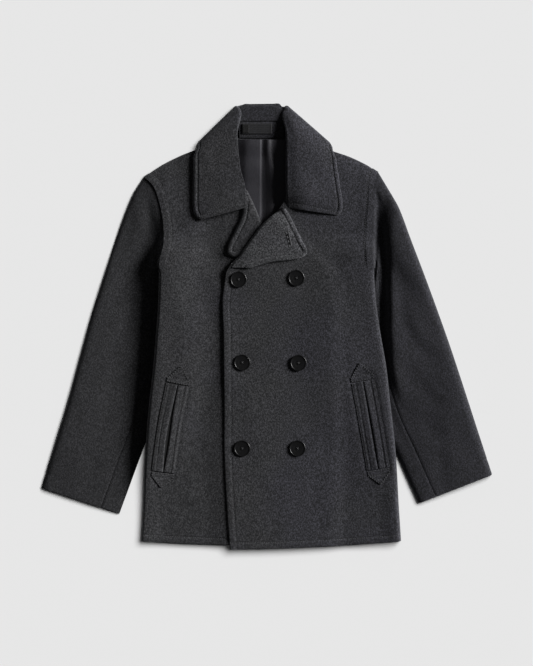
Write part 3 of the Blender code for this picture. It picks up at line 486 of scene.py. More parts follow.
# Thickness of the near-black strip of painted shade in a pocket's slit.
MOUTH = 0.0002
# A tack's half width as a share, at steps across its band (to 0.5) and down its triangle.
TACK_OUTLINE = ((-0.5, 1.0), (0.5, 1.0), (0.52, 0.93), (1.4, 0.62), (2.6, 0.2), (2.95, 0.06))
# Relief of a welt: its two puffed bands, the rolled lip, and the line of its stitches.
WELT_PUFF = 0.0004
WELT_LIP = 0.0006
WELT_SINK = 0.0008

# Soft creases: (x, y) at one end, (x, y) at the other, half width, and height, below 0 in troughs.
BODY_CREASES = (
    (-0.150, 0.210, -0.118, -0.040, 0.034, 0.0006),
    (-0.112, 0.150, -0.096, -0.330, 0.024, -0.0005),
    (-0.182, 0.060, -0.160, -0.090, 0.020, -0.0005),
    (-0.140, -0.150, -0.112, -0.370, 0.026, 0.0006),
    (-0.196, -0.290, -0.180, -0.392, 0.020, -0.0006),
    (-0.100, 0.290, -0.170, 0.235, 0.022, -0.0005),
    (0.186, 0.215, 0.120, 0.105, 0.020, -0.0008),
    (0.180, 0.150, 0.128, 0.020, 0.020, 0.0006),
    (0.098, 0.060, 0.108, -0.180, 0.028, 0.0006),
    (0.010, 0.040, 0.004, -0.150, 0.026, -0.0005),
    (0.140, -0.010, 0.150, -0.120, 0.024, -0.0005),
    (-0.020, -0.120, 0.016, -0.300, 0.024, 0.0005),
    (0.104, -0.250, 0.120, -0.400, 0.022, -0.0007),
    (0.168, -0.300, 0.176, -0.402, 0.018, 0.0007),
    (0.216, -0.300, 0.212, -0.396, 0.018, -0.0007),
    (-0.040, -0.330, -0.030, -0.404, 0.018, -0.0004),
    (0.040, -0.310, 0.048, -0.404, 0.020, 0.0005),
)
SLEEVE_CREASES = (
    (0.214, 0.232, 0.262, 0.060, 0.018, -0.0030),
    (0.236, 0.236, 0.292, 0.070, 0.018, 0.0014),
    (0.246, 0.060, 0.304, -0.060, 0.016, -0.0018),
    (0.268, 0.010, 0.330, -0.050, 0.015, 0.0012),
    (0.252, -0.070, 0.318, -0.130, 0.017, -0.0016),
    (0.300, -0.110, 0.352, -0.136, 0.013, 0.0010),
    (0.290, -0.170, 0.350, -0.215, 0.018, -0.0013),
    (0.330, -0.190, 0.372, -0.262, 0.018, 0.0010),
    (0.322, -0.240, 0.340, -0.312, 0.016, -0.0011),
)
BACK_CREASES = (
    (-0.120, 0.240, -0.060, 0.020, 0.026, 0.0014),
    (0.110, 0.250, 0.050, 0.040, 0.024, 0.0012),
    (-0.030, -0.060, 0.020, -0.280, 0.030, 0.0011),
    (-0.140, -0.180, -0.110, -0.380, 0.022, 0.0015),
    (0.130, -0.150, 0.150, -0.390, 0.024, 0.0013),
    (-0.008, 0.240, -0.004, 0.100, 0.018, 0.0009),
)
COLLAR_CREASES = (
    (-0.070, 0.370, -0.098, 0.250, 0.016, -0.0010),
    (-0.112, 0.320, -0.060, 0.235, 0.014, 0.0008),
    (0.060, 0.360, 0.100, 0.262, 0.016, -0.0009),
    (0.120, 0.300, 0.070, 0.225, 0.014, 0.0008),
)

# The two halves of the coat, with what differs between them: the body's rise over its tucked
# sleeve, the sleeve's lie and its dip (depth, distance from the seam, half width), the collar's
# way out and its turn, the lapel, and the pocket with its stitches.
RIGHT = SimpleNamespace(
    name="right", sign=-1, side=SIDE_RIGHT, armhole=ARMHOLE_RIGHT, shoulder=SHOULDER_RIGHT,
    free_edge=FREE_EDGE_RIGHT, neck_edge=NECK_EDGE_RIGHT,
    rise=0.0105, hem_share=0.3, rise_full=0.016, rise_fade=0.080, side_roll=0.0055,
    stations=SLEEVE_RIGHT, slope=SLEEVE_SLOPE_RIGHT, low_slope=None, slope_y=0.165, lean=0.0,
    dip=(0.0026, 0.017, 0.012), dip_y=0.215, dip_lean=0.0, drift_seed=2.6,
    leaf=LEAF_RIGHT, fold=FOLD_RIGHT, out=np.array((-0.698, 0.716)), fold_pull=0.0070,
    end_tight=0.0038, roll_droop=0.0,
    lapel=LAPEL_RIGHT, foot_thin=0.0, lapel_lift=LAPEL_LIFT, lapel_stitch_y=0.215,
    pocket=POCKET_RIGHT, slit_length=0.162, gape=0.0026, sink=0.0015, welt_wall=0.0018,
    stitch={"pitch": 0.0046, "length": 0.0038, "radius": 0.00055},
)
LEFT = SimpleNamespace(
    name="left", sign=1, side=SIDE_LEFT, armhole=ARMHOLE_LEFT, shoulder=SHOULDER_LEFT,
    free_edge=FREE_EDGE_LEFT, neck_edge=NECK_EDGE_LEFT,
    rise=0.007, hem_share=1.0, rise_full=0.028, rise_fade=0.110, side_roll=0.008,
    stations=SLEEVE_LEFT, slope=SLEEVE_SLOPE_LEFT, low_slope=SLEEVE_LOW, slope_y=0.235, lean=0.10,
    dip=(0.0042, 0.019, 0.008), dip_y=0.255, dip_lean=0.14, drift_seed=0.4,
    leaf=LEAF_LEFT, fold=FOLD_LEFT, out=np.array((0.658, 0.753)), fold_pull=0.0110,
    end_tight=0.0, roll_droop=0.0058,
    lapel=LAPEL_LEFT, foot_thin=0.0030, lapel_lift=0.0, lapel_stitch_y=0.212,
    pocket=POCKET_LEFT, slit_length=0.164, gape=0.0012, sink=0.0018, welt_wall=0.0012,
    stitch={"pitch": 0.0046, "length": 0.0036, "radius": 0.00040},
)
HALVES = (RIGHT, LEFT)


# ---- lines, grids and soft shapes ----


def ease(value):
    """0 below 0, 1 above 1, and a smooth rise between."""
    share = np.clip(value, 0.0, 1.0)
    return share * share * (3 - 2 * share)


def rolled(distance, radius):
    """Share of full height at this distance in from a rounded edge."""
    left = 1 - np.clip(distance / radius, 0.0, 1.0)
    return np.sqrt(1 - left * left)


def hump(distance, width):
    """1 at a line and nothing a few widths from it."""
    return np.exp(-((distance / width) ** 2))


def smooth(points, places):
    """A smooth run through points, or through whole lines of points, read at places counted from 0."""
    points = np.asarray(points, float)
    steps = np.maximum(np.linalg.norm(np.diff(points, axis=0), axis=-1, keepdims=True), 1e-9)
    slopes = np.diff(points, axis=0) / steps
    inner = (slopes[:-1] * steps[1:] + slopes[1:] * steps[:-1]) / (steps[:-1] + steps[1:])
    tangents = np.concatenate([slopes[:1], inner, slopes[-1:]])
    places = np.clip(np.asarray(places, float), 0, len(steps))
    i = np.minimum(places.astype(int), len(steps) - 1)
    t = (places - i).reshape(-1, *[1] * (points.ndim - 1))
    start = (2 * t**3 - 3 * t**2 + 1) * points[i] + (t**3 - 2 * t**2 + t) * steps[i] * tangents[i]
    end = (3 * t**2 - 2 * t**3) * points[i + 1] + (t**3 - t**2) * steps[i] * tangents[i + 1]
    return start + end


def run_of(points):
    """Fine places along a line of points, and the length run to each."""
    fine = np.linspace(0, len(points) - 1, 40 * (len(points) - 1) + 1)
    steps = np.linalg.norm(np.diff(smooth(points, fine), axis=0), axis=1)
    return fine, np.concatenate([[0], np.cumsum(steps)])


def length_of(points):
    return run_of(points)[1][-1]


def places_at(points, distances):
    """Places along a line of points at these lengths from its start."""
    fine, run = run_of(points)
    return np.interp(distances, run, fine)


def read_shares(points, shares):
    """The smooth line, read at shares of its whole length."""
    return smooth(points, places_at(points, np.asarray(shares) * length_of(points)))


def stops(length, step, near=0.0, far=0.0, fine=0.0010):
    """Distances along a length: a step apart, and finer within near of its start and far of its end."""
    start = np.arange(0, near - 0.5 * fine, fine)
    end = length - np.arange(0, far - 0.5 * fine, fine)[::-1]
    count = max(2, round((length - near - far) / step) + 1)
    return np.concatenate([start, np.linspace(near, length - far, count), end])


def refine(grid, rows, columns):
    """A finer grid through the same points: rows and columns are places counted in its lines."""
    return smooth(smooth(grid, rows).swapaxes(0, 1), columns).swapaxes(0, 1)


def patch(bottom, top, first, last):
    """Plan grid between four edges: rows run along first and last, columns along bottom and top."""
    u = np.linspace(0, 1, len(bottom))
    along = np.linalg.norm(np.diff(bottom, axis=0), axis=1)
    u[1:] = np.cumsum(along) / along.sum()
    v = np.linspace(0, 1, len(first))
    rise = np.linalg.norm(np.diff(last, axis=0), axis=1)
    v[1:] = np.cumsum(rise) / rise.sum()
    u, v = u[None, :, None], v[:, None, None]
    ruled = (1 - v) * bottom[None] + v * top[None] + (1 - u) * first[:, None] + u * last[:, None]
    corners = (1 - v) * ((1 - u) * bottom[0] + u * bottom[-1])
    return ruled - corners - v * ((1 - u) * top[0] + u * top[-1])


def creased(x, y, creases, mirror=1):
    """Height that soft creases add at each point."""
    height = np.zeros_like(x)
    for ax, ay, bx, by, width, rise in creases:
        ax, bx = ax * mirror, bx * mirror
        length = math.hypot(bx - ax, by - ay)
        ux, uy = (bx - ax) / length, (by - ay) / length
        along = ((x - ax) * ux + (y - ay) * uy) / length
        bow = 0.12 * length * np.sin(math.pi * np.clip(along, 0, 1))
        across = (x - ax) * uy - (y - ay) * ux - bow * mirror
        ends = ease((along + 0.28) / 0.5) * ease((1.28 - along) / 0.5)
        height += rise * hump(across, width * (0.75 + 0.35 * along)) * ends
    return height


def waved(x, y, size, seed):
    """Slow unevenness of hand-laid cloth, from -1 to 1."""
    drift = np.zeros_like(x)
    for k in range(5):
        turn = 2.4 * k + seed
        wave = 2 * math.pi / (size * (1 + 0.37 * k))
        drift += np.sin(wave * (x * math.cos(turn) + y * math.sin(turn)) + 1.9 * seed * (k + 1))
    return drift / 3.2


def distance_to(plan, line):
    """Plan distance of each point of a grid to a line of points."""
    starts, runs = line[:-1], np.diff(line, axis=0)
    past = plan[..., None, :] - starts
    share = np.clip(np.sum(past * runs, axis=-1) / np.sum(runs * runs, axis=-1), 0, 1)
    return np.linalg.norm(past - runs * share[..., None], axis=-1).min(axis=-1)


def square_to(run):
    """Level unit vectors square to a rim that runs this way."""
    square = np.stack([run[:, 1], -run[:, 0], np.zeros(len(run))], axis=1)
    return square / np.maximum(np.linalg.norm(square, axis=1), 1e-9)[:, None]


def outward(grid, flip):
    """Unit vectors square to a grid of points, level at a rim that stands on edge."""
    across, along = np.gradient(grid, axis=1), np.gradient(grid, axis=0)
    facing = np.cross(along, across) if flip else np.cross(across, along)
    facing /= np.maximum(np.linalg.norm(facing, axis=2), 1e-12)[..., None]
    ends = ((np.s_[0], across), (np.s_[-1], across))
    sides = ((np.s_[:, 0], along), (np.s_[:, -1], along))
    for rim, run in ends + sides:
        steep = np.abs(facing[rim][:, 2]) < 0.6
        facing[rim][steep, 2] = 0
        square = square_to(run[rim])
        square[steep] = 0
        facing[rim] -= square * np.sum(facing[rim] * square, axis=1)[:, None]
    return facing / np.maximum(np.linalg.norm(facing, axis=2), 1e-12)[..., None]


def insets(grid):
    """How far in each point lies from the grid's four sides, measured along the cloth."""
    down = np.linalg.norm(np.diff(grid, axis=0), axis=2)
    over = np.linalg.norm(np.diff(grid, axis=1), axis=2)
    row, column = np.zeros((1, grid.shape[1])), np.zeros((grid.shape[0], 1))
    return {
        "first": np.concatenate([row, np.cumsum(down, axis=0)]),
        "last": np.concatenate([np.cumsum(down[::-1], axis=0)[::-1], row]),
        "left": np.concatenate([column, np.cumsum(over, axis=1)], axis=1),
        "right": np.concatenate([np.cumsum(over[:, ::-1], axis=1)[:, ::-1], column], axis=1),
    }


def stitched(inset, stitch_in, puff=0.0005):
    """Relief beside a stitched edge: a groove at the stitches, and the band outside it puffed up."""
    band = np.clip(inset / stitch_in, 0, 1)
    return puff * np.sin(math.pi * band) - GROOVE * hump(inset - stitch_in, GROOVE_WIDE)


# ---- meshes ----


def quads(rows, columns, flip):
    i, j = np.meshgrid(np.arange(rows - 1), np.arange(columns - 1), indexing="ij")
    a = (i * columns + j).ravel()
    faces = np.stack([a, a + 1, a + columns + 1, a + columns], axis=1)
    return faces[:, ::-1] if flip else faces


def add_mesh(name, points, faces, look, nodes=()):
    """A shown piece that rides on the coat and stands for its nodes."""
    mesh = bpy.data.meshes.new(name)
    mesh.from_pydata(np.asarray(points).tolist(), [], faces)
    mesh.shade_smooth()
    mesh.set_sharp_from_angle(angle=math.radians(55))
    mesh.materials.append(look)
    piece = bpy.data.objects.new(name, mesh)
    bpy.context.scene.collection.objects.link(piece)
    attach(piece, "root")
    if nodes:
        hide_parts(*nodes)
    return piece


def shell(name, node, grid, wall, look, raised=0.0, free=(), flip=None, facing=None):
    """A wall of cloth whose outer face is the grid, rounded at its free sides. Returns its skin."""
    if flip is None:
        flip = np.cross(np.gradient(grid, axis=1), np.gradient(grid, axis=0))[..., 2].sum() < 0
    facing = outward(grid, flip) if facing is None else facing
    inset = insets(grid)
    worn = np.zeros(grid.shape[:2])
    if free:
        near = np.minimum.reduce([inset[side] for side in free])
        worn = 1 - rolled(near, 1.25 * wall)
    skin = grid + facing * (raised - 0.45 * wall * worn)[..., None]
    inside = grid - facing * (wall * (1 - 0.35 * worn))[..., None]
    rows, columns = grid.shape[:2]
    count = rows * columns
    outer = quads(rows, columns, flip)
    rim = [(0, j) for j in range(columns)] + [(i, columns - 1) for i in range(1, rows)]
    rim += [(rows - 1, j) for j in range(columns - 2, -1, -1)]
    rim += [(i, 0) for i in range(rows - 2, 0, -1)]
    loop = np.array([i * columns + j for i, j in rim])
    after = np.roll(loop, -1)
    sides = np.stack([loop, loop + count, after + count, after], axis=1)
    sides = sides[:, ::-1] if flip else sides
    faces = np.concatenate([outer, outer[:, ::-1] + count, sides]).tolist()
    points = np.concatenate([skin.reshape(-1, 3), inside.reshape(-1, 3)])
    piece = add_mesh(name, points, faces, look, (node,) if node else ())
    return {"piece": piece, "skin": skin, "facing": facing, "inset": inset}


def line_in(made, side, depth, where=None):
    """The line on a shell's skin at one distance in from a side: its points and its normals."""
    skin, facing, inset = made["skin"], made["facing"], made["inset"][side]
    if side in ("first", "last"):
        skin, facing, inset = skin.swapaxes(0, 1), facing.swapaxes(0, 1), inset.T
    if side in ("last", "right"):
        skin, facing, inset = skin[:, ::-1], facing[:, ::-1], inset[:, ::-1]
    points, normals = [], []
    for k in range(len(skin)):
        place = np.interp(depth, inset[k], np.arange(inset.shape[1]))
        i = min(int(place), inset.shape[1] - 2)
        t = place - i
        point = skin[k, i] * (1 - t) + skin[k, i + 1] * t
        if where is None or where(point):
            points.append(point)
            normals.append(facing[k, i])
    return np.array(points), np.array(normals)


class Sewing:
    """Rows of stitches, gathered into one mesh."""

    def __init__(self):
        self.points = []
        self.faces = []
        self.count = 0

    def row(self, line, pitch=STITCH_PITCH, length=STITCH_LENGTH, radius=STITCH_RADIUS):
        """Stitches along a line of points and normals."""
        points, normals = line
        skips = 1 + np.flatnonzero(np.linalg.norm(np.diff(points, axis=0), axis=1) > 0.02)
        if len(skips):
            for part in zip(np.split(points, skips), np.split(normals, skips)):
                self.row(part, pitch, length, radius)
            return
        run = np.concatenate([[0], np.cumsum(np.linalg.norm(np.diff(points, axis=0), axis=1))])
        starts = np.arange(0.5 * (pitch - length), run[-1] - length, pitch)
        if not len(starts):
            return
        share = np.linspace(0, 1, 5)
        at = starts[:, None] + share[None] * length
        centre = np.stack([np.interp(at, run, points[:, axis]) for axis in range(3)], axis=-1)
        up = np.stack([np.interp(at, run, normals[:, axis]) for axis in range(3)], axis=-1)
        up /= np.linalg.norm(up, axis=-1, keepdims=True)
        along = np.gradient(centre, axis=1)
        across = np.cross(up, along)
        across /= np.linalg.norm(across, axis=-1, keepdims=True)
        lift = radius * (1.9 * np.sin(math.pi * share) - 1.1)
        wide = radius * np.array((0.45, 0.9, 1.0, 0.9, 0.45))
        turn = np.linspace(0, 2 * math.pi, 7)[:-1]
        rise = lift[None, :, None, None] + (wide[:, None] * np.cos(turn))[None, ..., None]
        side = (wide[:, None] * np.sin(turn))[None, ..., None]
        rings = centre[:, :, None] + up[:, :, None] * rise + across[:, :, None] * side
        ring = np.arange(6)
        strip = np.stack([ring, (ring + 1) % 6, (ring + 1) % 6 + 6, ring + 6], axis=1)
        for k in range(len(starts)):
            base = self.count + 30 * k
            for step in range(4):
                self.faces += (strip + base + 6 * step).tolist()
            self.faces += [(ring[::-1] + base).tolist(), (ring + base + 24).tolist()]
        self.points.append(rings.reshape(-1, 3))
        self.count += 30 * len(starts)

    def add(self, name, look, slot="wool"):
        return add_mesh(name, np.concatenate(self.points), self.faces, look)


# ---- finishes ----


class Value:
    """A node's output, which can be used in sums."""

    def __init__(self, finish, socket):
        self.finish, self.socket = finish, socket

    def maths(self, operation, *values):
        return self.finish.node("ShaderNodeMath", {"operation": operation}, *values)

    def __add__(self, other):
        return self.maths("ADD", self, other)

    def __sub__(self, other):
        return self.maths("SUBTRACT", self, other)

    def __rsub__(self, other):
        return self.maths("SUBTRACT", other, self)

    def __mul__(self, other):
        return self.maths("MULTIPLY", self, other)

    __radd__ = __add__
    __rmul__ = __mul__


class Finish:
    """One procedural material."""

    def __init__(self, name):
        self.look = bpy.data.materials.new(name)
        self.look.use_nodes = True
        self.nodes = self.look.node_tree.nodes
        self.links = self.look.node_tree.links
        self.shader = self.nodes["Principled BSDF"]
        self.place = self.node("ShaderNodeTexCoord", {"output": "Object"})

    def node(self, kind, settings, *values, **named):
        """A node with its settings made first and then its sockets' values or links."""
        made = self.nodes.new(kind)
        output = settings.pop("output", 0)
        for key, value in settings.items():
            if key == "stops":
                ramp = made.color_ramp
                ramp.elements[0].position, ramp.elements[1].position = value[0][0], value[-1][0]
                for position, _ in value[1:-1]:
                    ramp.elements.new(position)
                for element, (_, grey) in zip(ramp.elements, value):
                    element.color = (grey, grey, grey, 1)
            else:
                setattr(made, key, value)
        for key, value in [*enumerate(values), *named.items()]:
            socket = made.inputs[key.replace("_", " ") if isinstance(key, str) else key]
            if isinstance(value, Value):
                self.links.new(value.socket, socket)
            elif value is not None:
                socket.default_value = value
        return Value(self, made.outputs[output])

    def noise(self, scale, detail=3.0, roughness=0.6, stretch=(1, 1, 1), shift=0.0):
        spread = self.node(
            "ShaderNodeMapping", {}, Vector=self.place,
            Scale=[scale * s for s in stretch], Location=(shift, shift * 0.7, shift * 1.3),
        )
        return self.node(
            "ShaderNodeTexNoise", {}, Vector=spread, Scale=1.0, Detail=detail, Roughness=roughness
        )

    def ramp(self, value, *stops):
        return self.node("ShaderNodeValToRGB", {"stops": stops}, value)

    def mix(self, share, first, second, blend="MIX"):
        """Two colours mixed by a share. Sockets 6 and 7 are its colours, and output 2 its result."""
        made = self.node(
            "ShaderNodeMix", {"data_type": "RGBA", "blend_type": blend, "output": 2}, share
        )
        for key, colour in ((6, first), (7, second)):
            socket = made.socket.node.inputs[key]
            if isinstance(colour, Value):
                self.links.new(colour.socket, socket)
            else:
                socket.default_value = (*colour, 1)
        return made

    def bump(self, height, distance, strength=1.0, under=None):
        return self.node(
            "ShaderNodeBump", {}, Strength=strength, Distance=distance, Height=height, Normal=under
        )

    def set(self, **inputs):
        for key, value in inputs.items():
            socket = self.shader.inputs[key.replace("_", " ")]
            if isinstance(value, Value):
                self.links.new(value.socket, socket)
            else:
                socket.default_value = value
        return self.look


def heathered_wool(name, dark, light, cool):
    """Melton: matted fibres of two greys, with a soft nap."""
    wool = Finish(name)
    fibres = wool.noise(335, detail=4, roughness=0.75, stretch=(1.22, 0.84, 1))
    specks = wool.noise(580, detail=3, roughness=0.7, shift=3.1)
    patches = wool.noise(38, detail=3, roughness=0.55, shift=7.7)
    tint = wool.noise(5.5, detail=2, roughness=0.5, shift=1.4)
    mottle = wool.ramp(fibres * 0.62 + specks * 0.38, (0.435, 0.0), (0.5, 0.27), (0.58, 1.0))
    cloth = wool.mix(mottle, dark, light)
    worn = wool.ramp(patches, (0.3, 0.86), (0.7, 1.0))
    cloth = wool.mix(1.0, cloth, worn, "MULTIPLY")
    cooled = wool.mix(1.0, cloth, cool, "MULTIPLY")
    # A cool tint in random patches, pushed toward +X, the side the lamp lights from: the push is
    # painted light colour.
    toward_lit_side = wool.node("ShaderNodeSeparateXYZ", {"output": 0}, wool.place)
    cloth = wool.mix(wool.ramp(tint + toward_lit_side * 0.9, (0.38, 0.0), (0.62, 1.0)), cloth, cooled)
    nap = wool.noise(900, detail=5, roughness=0.75, stretch=(0.8, 1.2, 1), shift=5.2)
    felt = wool.bump(fibres, 0.0009, 0.55)
    return wool.set(
        Base_Color=cloth,
        Roughness=wool.ramp(specks, (0.3, 0.9), (0.7, 1.0)),
        Normal=wool.bump(nap, 0.0005, 0.6, felt),
        Sheen_Weight=0.28,
        Sheen_Roughness=0.55,
        Sheen_Tint=(0.75, 0.76, 0.80, 1),
        Specular_IOR_Level=0.18,
    )


def satin(name, colour, sheen):
    """Lining twill: smooth, with a fine diagonal rib and a soft gloss."""
    lining = Finish(name)
    rib = lining.node(
        "ShaderNodeTexWave", {"wave_type": "BANDS", "bands_direction": "DIAGONAL"},
        Vector=lining.place, Scale=900.0, Distortion=1.5, Detail=1.0,
    )
    slub = lining.noise(240, detail=3, roughness=0.6, stretch=(4, 0.5, 1))
    cloth = lining.mix(lining.ramp(slub, (0.35, 0.0), (0.65, 1.0)), colour, sheen)
    wrinkles = lining.bump(lining.noise(46, detail=2, stretch=(1.5, 0.3, 1), shift=2.0), 0.0012, 0.35)
    return lining.set(
        Base_Color=cloth,
        Roughness=lining.ramp(slub, (0.2, 0.56), (0.8, 0.68)),
        Normal=lining.bump(rib, 0.00012, 0.3, wrinkles),
        Specular_IOR_Level=0.27,
        Sheen_Weight=0.10,
    )


def polished(name, colour):
    """Cast resin with a turned, polished face and faint scuffs."""
    resin = Finish(name)
    swirl = resin.noise(160, detail=3, roughness=0.5)
    scuffs = resin.noise(1400, detail=4, roughness=0.7, stretch=(0.2, 1.6, 1))
    face = resin.mix(resin.ramp(swirl, (0.4, 0.0), (0.7, 1.0)), colour, [3.2 * c for c in colour])
    return resin.set(
        Base_Color=face,
        Roughness=resin.ramp(scuffs, (0.35, 0.30), (0.75, 0.40)),
        Normal=resin.bump(scuffs, 0.00004, 0.5),
        Specular_IOR_Level=0.5,
    )


def thread(name, dark, light):
    """Spun sewing thread with its twist."""
    spun = Finish(name)
    twist = spun.node(
        "ShaderNodeTexWave", {"wave_type": "BANDS", "bands_direction": "DIAGONAL"},
        Vector=spun.place, Scale=1500.0, Distortion=2.0,
    )
    return spun.set(
        Base_Color=spun.mix(twist, dark, light),
        Roughness=0.7,
        Normal=spun.bump(twist, 0.0001, 0.6),
        Sheen_Weight=0.2,
    )


# ---- heights of the layers ----


def edge_x(y, line):
    """x of an outline at this height, held at its ends."""
    read = smooth(line, np.linspace(0, len(line) - 1, 80))
    return np.interp(y, read[:, 1], read[:, 0])


def sleeve_inner_edge(y, stations):
    points = [(row[3], row[2]) for row in stations][::-1]
    return np.interp(y, [p[0] for p in points], [p[1] for p in points])


def tucked(x, y, full, fade):
    """Share of the body's lift over the tucked halves of the sleeves."""
    right = sleeve_inner_edge(y, SLEEVE_RIGHT) + full - x
    left = x - sleeve_inner_edge(y, SLEEVE_LEFT) + full
    return ease(1 + np.maximum(right, left) / fade) * ease((TUCK_TOP_Y - y) / TUCK_TOP_FADE)


def neck_lifted(x, y):
    """Share of the lift over the collar's hidden fall."""
    inside = ease((NECK_LIFT_HALF - np.abs(x - NECK_LIFT_X)) / NECK_LIFT_SIDE_FADE)
    return ease((y - NECK_LIFT_Y) / NECK_LIFT_FADE) * inside


def back_base(x, y):
    """Underside of the back, lifted over the tucked sleeves and the collar's fall."""
    over_sleeves = TUCK_LIFT * tucked(x, y, BACK_TUCK_FULL, BACK_TUCK_FADE)
    return np.maximum(over_sleeves, NECK_LIFT * neck_lifted(x, y))


def side_edge(y, half):
    """x of the body's side edge at this height, held still above the underarm."""
    return edge_x(np.minimum(y, UNDERARM_Y), half.side)


def front_top(x, y, half):
    """Outer face of a front, before its free edge, its overlap and its creases."""
    upward = half.hem_share + (1 - half.hem_share) * ease((y - HEM_RISE_Y) / HEM_RISE_FADE)
    level = FRONT_TOP + half.rise * upward * tucked(x, y, half.rise_full, half.rise_fade)
    base = 2 * WOOL + 2 * GAP + NECK_LIFT * neck_lifted(x, y)
    seam = np.array(SHOULDER_RIGHT[::-1] + SHOULDER_LEFT)
    shoulder_in = np.maximum(np.interp(x, seam[:, 0], seam[:, 1]) - y, 0) * SHOULDER_SLANT
    level = base + (level - base) * rolled(shoulder_in, SHOULDER_ROLL)
    edge = back_base(x, y) + WOOL + 2 * GAP
    folded = edge + (level - edge) * rolled(np.abs(side_edge(y, half) - x), half.side_roll)
    share = ease((UNDERARM_Y + ARMHOLE_START - y) / ARMHOLE_FADE)
    return folded * share + level * (1 - share)


def overlapped(x, y):
    """Share of the left front's height that it owes to the right front under it."""
    edge = edge_x(y, FREE_EDGE_RIGHT + NECK_EDGE_RIGHT[1:6])
    past = OVERLAP_SPREAD - OVERLAP_DRAWN * ease((y - OVERLAP_DRAWN_Y) / OVERLAP_DRAWN_FADE)
    return ease((edge + past - x) / OVERLAP_FADE)


def past_left_edge(x, y):
    """How far a point lies past the left front's free edge, and the share of closed coat there."""
    past = x - edge_x(np.minimum(y, FREE_EDGE_LEFT[-1][1]), FREE_EDGE_LEFT)
    return past, ease((CLOSED_Y - y) / CLOSED_FADE)


def edge_thinned(x, y):
    """How far the right front rises into the left front's thickness, along its free edge."""
    past, closed = past_left_edge(x, y)
    return EDGE_THIN * ease((past + THIN_IN) / THIN_IN) * (1 - ease(past / THIN_PAST)) * closed


def front_face(x, y, half):
    """Outer face of a front as it lies, with its creases."""
    x, y = np.asarray(x, float), np.asarray(y, float)
    inward = np.abs(side_edge(y, half) - x)
    height = front_top(x, y, half) + SIDE_SWELL * hump(inward - SWELL_IN, SWELL_WIDE)
    soft = ease(inward / CREASES_IN) * ease((CREASES_TOP_Y - y) / CREASES_TOP_FADE)
    height += soft * (creased(x, y, BODY_CREASES) + DRIFT * waved(x, y, DRIFT_SIZE, DRIFT_SEED))
    for _, at_x, at_y in BUTTON_CENTRES:
        height -= BUTTON_DIMPLE * hump(np.hypot(x - at_x, y - at_y), BUTTON_DIMPLE_WIDE)
    beside_slit = distance_to(np.stack([x, y], axis=-1), np.array(half.pocket))
    height -= half.sink * ease((WELT_WIDE + SINK_PAST_WELT - beside_slit) / SINK_FADE)
    past, closed = past_left_edge(x, y)
    rising = ease((past - OVERLAP_RISE_START) / OVERLAP_RISE_FADE)
    height += OVERLAP_RISE * rising * (1 - ease((past - OVERLAP_FALL_START) / OVERLAP_FALL_FADE))
    if half is RIGHT:
        away = np.hypot(x - LAPEL_BED_X, y - np.clip(y, *LAPEL_BED_Y))
        height -= LAPEL_DIP * ease((LAPEL_BED_WIDE - away) / LAPEL_BED_FADE)
        return height + edge_thinned(x, y)
    return height + OVERLAP * overlapped(x, y) + EDGE_LIFT * hump(past, EDGE_LIFT_WIDE) * closed


# ---- body ----


def body_rows(half):
    """Rows of a body panel: places up its side, then shares of its armhole's length."""
    length = length_of(half.armhole)
    low = places_at(half.side, stops(length_of(half.side), 0.0038, near=0.018))
    return low, stops(length, 0.0036, far=0.006)[1:] / length


def make_front(half, look, sewing):
    low, shares = body_rows(half)
    first = np.concatenate([smooth(half.free_edge, low), read_shares(half.neck_edge, shares)])
    last = np.concatenate([smooth(half.side, low), read_shares(half.armhole, shares)])
    across = stops(FRONT_WIDE, FRONT_STEP, near=0.017, far=0.017) / FRONT_WIDE
    bottom = first[0] + across[:, None] * (last[0] - first[0])
    bottom[:, 1] -= FRONT_HEM_BOW * np.sin(math.pi * across) ** 0.7
    plan = patch(bottom, read_shares(half.shoulder, across), first, last)
    x, y = plan[..., 0], plan[..., 1]
    grid = np.dstack([plan, front_face(x, y, half)])
    inset = insets(grid)
    raised = stitched(inset["first"], HEM_STITCH_IN, 0.0003) * ease(inset["right"] / 0.01)
    welted = WELT_RAISE * ease((WELT_IN + 0.001 - inset["right"]) / 0.002)
    welted -= 0.6 * GROOVE * hump(inset["right"] - WELT_STITCH_IN, GROOVE_WIDE)
    raised += welted * ease((y - UNDERARM_Y - 0.004) / 0.02)
    wall = WOOL
    if half is LEFT:
        raised += 0.65 * stitched(inset["left"], FRONT_STITCH_IN) * ease((0.100 - y) / 0.012)
        wall = WOOL - edge_thinned(x, y)
    node = f"front_{half.name}"
    made = shell(f"{node}_cloth", node, grid, wall, look, raised=raised, free=("first", "left"))
    sewing.row(line_in(made, "first", HEM_STITCH_IN))
    sewing.row(line_in(made, "right", WELT_STITCH_IN, lambda p: p[1] > UNDERARM_Y + 0.008))
    if half is LEFT:
        sewing.row(line_in(made, "left", FRONT_STITCH_IN, lambda p: p[1] < FRONT_STITCH_TOP_Y))
    return made


